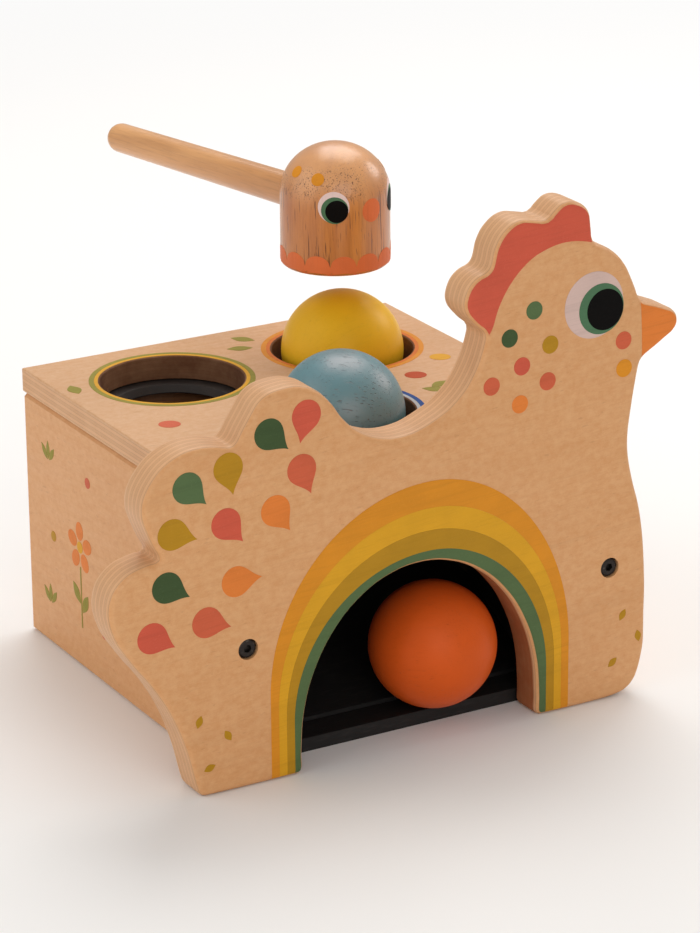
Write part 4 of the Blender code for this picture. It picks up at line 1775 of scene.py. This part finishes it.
    def print_skin(self, name: str, ink: Ink, places: Sequence[Point],
                   faces: Sequence[tuple[int, ...]], rims: Sequence[Sequence[int]],
                   out: float = PROUD) -> None:
        """Print a mark that follows the head, as a closed skin.

        Args:
            name: Name of the mark.
            ink: Its colour.
            places: Heading and rise of each of its points.
            faces: Corner indices of its outer faces.
            rims: Indices of the points along each of its edges.
            out: Its height over the wood.
        """
        verts = [self.surface(*place, layer) for layer in (out, -self.sunk) for place in places]
        count = len(places)
        shell = list(faces) + [tuple(count + i for i in reversed(face)) for face in faces]
        for rim in rims:
            for i, j in zip(rim, [*rim[1:], rim[0]]):
                shell.append((i, count + i, count + j, j))
        hand_over(add_object(name, verts, shell), Body.HAMMER, "toasted_wood",
                  self.inks.take(ink))

    def spot(self, name: str, ink: Ink, heading: float, rise: float, radius: float,
             out: float = PROUD, squash: float = 1.0) -> None:
        """Print a round mark.

        Args:
            name: Name of the mark.
            ink: Its colour.
            heading: Direction of its middle from +X.
            rise: Distance of its middle up the outline.
            radius: Its radius.
            out: Its height over the wood.
            squash: Its height over its width.
        """
        circles, sides = 7, 56
        local = self.surface(heading, rise, 0) - self.origin
        arm = math.hypot(local.x, local.y)
        places = [(heading, rise)]
        for k in range(1, circles + 1):
            places += [(heading + math.degrees(u / arm), rise + v)
                       for u, v in ring((0, 0), radius * k / circles, sides, squash)]
        round_about = [(i, (i + 1) % sides) for i in range(sides)]
        faces: list[tuple[int, ...]] = [(0, 1 + i, 1 + j) for i, j in round_about]
        rim = 1 + (circles - 1) * sides
        for p in range(1, rim, sides):
            q = p + sides
            faces += [(p + i, q + i, q + j, p + j) for i, j in round_about]
        self.print_skin(name, ink, places, faces, [range(rim, rim + sides)], out)

    def print_face(self) -> None:
        """Print both eyes, the beak and the freckles, the same on both sides of the beak."""
        beak = self.handle_turn + 180
        self.spot("head_beak_dot", Ink.ORANGE_RED, beak, 24.3, 4.1, squash=1.05)
        for side, name in ((-1, "tail_side"), (1, "head_side")):
            eye = beak + side * 42.3
            self.spot(f"head_eye_white_{name}", Ink.PALE, eye + side * 0.3, 26.7, 5.7)
            self.spot(f"head_eye_green_{name}", Ink.IRIS, eye - side * 0.8, 25.6, 4.9, 0.15)
            self.spot(f"head_eye_black_{name}", Ink.BLACK, eye - side * 2.9, 25.2, 4.1, 0.20)
            self.spot(f"head_freckle_low_{name}", Ink.AMBER, beak + side * 61.6, 36.6, 2.4)
            self.spot(f"head_freckle_high_{name}", Ink.AMBER, beak + side * 96.3, 38.0, 2.3)

    def print_band(self) -> None:
        """Print the scalloped band round the foot of the head."""
        steps, rows = 16, 5
        foot, valley, swell = 0.5, 4.2, 4.2
        start = -self.handle_turn - 23.0
        columns = self.scallops * steps
        places: list[Point] = []
        for i in range(columns):
            across = 2 * (i % steps) / steps - 1
            top = valley + swell * math.sqrt(1 - across ** 2)
            places += [(start + 360 * i / columns, foot + (top - foot) * k / rows)
                       for k in range(rows + 1)]
        low = range(0, len(places), rows + 1)
        faces = [(a + k, b + k, b + k + 1, a + k + 1)
                 for a, b in zip(low, [*low[1:], 0]) for k in range(rows)]
        high = [a + rows for a in reversed(low)]
        self.print_skin("head_scallop_band", Ink.ORANGE_RED, places, faces, [low, high])


# Studio


@dataclass(frozen=True)
class Lamp:
    """A soft square lamp that faces the toy.

    Attributes:
        name: Its name.
        place: Where it hangs.
        size: Its side.
        power: Its power in watts.
        colour: Its linear colour.
    """

    name: str
    place: tuple[float, float, float]
    size: float
    power: float
    colour: Colour

    def build(self, aim: Vector) -> None:
        """Hang the lamp.

        Args:
            aim: The point that it faces.
        """
        data = bpy.data.lights.new(self.name, "AREA")
        data.shape = "SQUARE"
        data.size = self.size * MM
        data.energy = self.power
        data.color = self.colour
        holder = bpy.data.objects.new(self.name, data)
        holder.location = Vector(self.place) * MM
        way = aim * MM - holder.location
        holder.rotation_euler = way.to_track_quat("-Z", "Y").to_euler()
        bpy.context.scene.collection.objects.link(holder)


@dataclass
class Studio:
    """Floor, lamps, sky and camera.

    Attributes:
        target: A point in the toy at which the camera looks.
        yaw: Direction of view from +Y towards +X.
        pitch: Angle of view below the horizon.
        roll: Turn about the direction of view.
        distance: From the camera to the target.
        focal: Focal length in pixels of the picture.
        height: Height of the picture in pixels.
        sensor: Height of the sensor.
        floor: Half the floor's side.
        floor_level: Height of the floor, a hair below the toy.
        floor_fade: Radii between which the floor fades to white.
        lamp_aim: The point that the lamps face.
        lamps: The lamps.
        sky: Linear colour of the light from all round.
        sky_strength: Its strength.
    """

    target: Vector = Vector((12.01, -10.69, 74.12))
    yaw: float = 29.496
    pitch: float = 20.158
    roll: float = -0.449
    distance: float = 1325.0
    focal: float = 3717.0
    height: int = 933
    sensor: float = 36.0
    floor: float = 4000.0
    floor_level: float = -0.05
    floor_fade: tuple[float, float] = (500.0, 1400.0)
    lamp_aim: Vector = Vector((0, 0, 70))
    lamps: tuple[Lamp, ...] = (
        Lamp("key", (480, 600, 1300), 1050, 13.5, (1.0, 0.97, 0.95)),
        Lamp("right", (1150, 60, 690), 450, 3.2, (1.0, 0.96, 0.94)),
        Lamp("front", (-350, -1500, 650), 1200, 7.8, (1.0, 0.99, 0.97)),
        Lamp("left", (-1350, 250, 750), 1700, 8.5, (1.0, 0.98, 0.97)))
    sky: Colour = (1.0, 0.985, 0.965)
    sky_strength: float = 0.40

    def build(self) -> None:
        """Set up everything round the toy."""
        self.build_floor()
        for lamp in self.lamps:
            lamp.build(self.lamp_aim)
        self.build_sky()
        self.build_camera()
        bpy.context.scene.view_settings.view_transform = "Standard"

    def build_floor(self) -> None:
        """Lay a pale floor with a faint mottle, which fades to white far from the toy."""
        sheet = Shade("studio_floor", 0.75)
        pale, grey = (241.05, 241.05, 239.83), (236.15, 236.15, 234.9)
        sheet.finish(sheet.blend(pale, grey, sheet.clouds(9, 3) * 0.25))
        near, far = self.floor_fade
        distance = sheet.near((0, 0, 0), (far, far, 0))
        seen = sheet.add("ShaderNodeLightPath").outputs["Is Camera Ray"]
        white = sheet.add("ShaderNodeEmission", Color=(1.0, 1.0, 1.0), Strength=1.0)
        fade = sheet.add("ShaderNodeMixShader")
        sheet.feed_all(fade, distance.above(near / far, 1.0) * seen, sheet.surface.outputs[0],
                       white.outputs[0])
        sheet.fill(sheet.tree.nodes["Material Output"], Surface=fade.outputs[0])
        corners = [(x * self.floor, y * self.floor, self.floor_level)
                   for x, y in ((-1, -1), (1, -1), (1, 1), (-1, 1))]
        floor = add_object("floor", corners, [(0, 1, 2, 3)])
        floor.data.materials.append(sheet.material)

    def build_sky(self) -> None:
        """Light the toy softly from all round, before a white background."""
        world = bpy.data.worlds.new("studio")
        bpy.context.scene.world = world
        world.use_nodes = True
        nodes, links = world.node_tree.nodes, world.node_tree.links
        sky = nodes["Background"]
        sky.inputs["Color"].default_value = (*self.sky, 1.0)
        sky.inputs["Strength"].default_value = self.sky_strength
        white = nodes.new("ShaderNodeBackground")
        white.inputs["Color"].default_value = (1.0, 1.0, 1.0, 1.0)
        path = nodes.new("ShaderNodeLightPath")
        mixer = nodes.new("ShaderNodeMixShader")
        sources = (path.outputs["Is Camera Ray"], sky.outputs[0], white.outputs[0])
        for source, socket in zip(sources, mixer.inputs):
            links.new(source, socket)
        links.new(mixer.outputs[0], nodes["World Output"].inputs["Surface"])

    def build_camera(self) -> None:
        """Place the camera at the photograph's viewing angle."""
        yaw, pitch = math.radians(self.yaw), math.radians(self.pitch)
        forward = Vector((math.sin(yaw) * math.cos(pitch), math.cos(yaw) * math.cos(pitch),
                          -math.sin(pitch)))
        data = bpy.data.cameras.new("photo_camera")
        data.sensor_fit = "VERTICAL"
        data.sensor_height = self.sensor
        data.lens = self.focal / self.height * self.sensor
        data.clip_end = 20.0
        camera = bpy.data.objects.new("photo_camera", data)
        camera.location = (self.target - forward * self.distance) * MM
        level = forward.to_track_quat("-Z", "Y").to_matrix()
        rolled = level @ Matrix.Rotation(math.radians(self.roll), 3, "Z")
        camera.rotation_euler = rolled.to_euler()
        bpy.context.scene.collection.objects.link(camera)
        bpy.context.scene.camera = camera


def main() -> None:
    """Build every sub-assembly in order."""
    logging.basicConfig(level=logging.INFO, format="%(name)s: %(message)s")
    HenPanel().build()
    BallBox().build()
    balls = (
        (Body.YELLOW_BALL, 3, BallPaint("yellow_ball_satin", (238, 184, 36), pores=0.12,
                                        lean=(0, 20, 10), shine=0.25, glint=(1.0, 0.86, 0.60))),
        (Body.BLUE_BALL, 5, BallPaint("blue_ball_satin", (78, 131, 140), pores=1.0,
                                      lean=(0, -10, 28), shine=1.0, glint=(1.0, 0.58, 0.54),
                                      haze=0.55)),
        (Body.ORANGE_BALL, 8, BallPaint("orange_ball_satin", (214, 88, 28), pores=0.2,
                                        lean=(10, 0, 40), shine=0.15, glint=(1.0, 0.9, 0.8))))
    for body, seed, paint in balls:
        PoundingBall(body, paint, seed).build()
    Hammer().build()
    Studio().build()


if __name__ == "__main__":
    main()
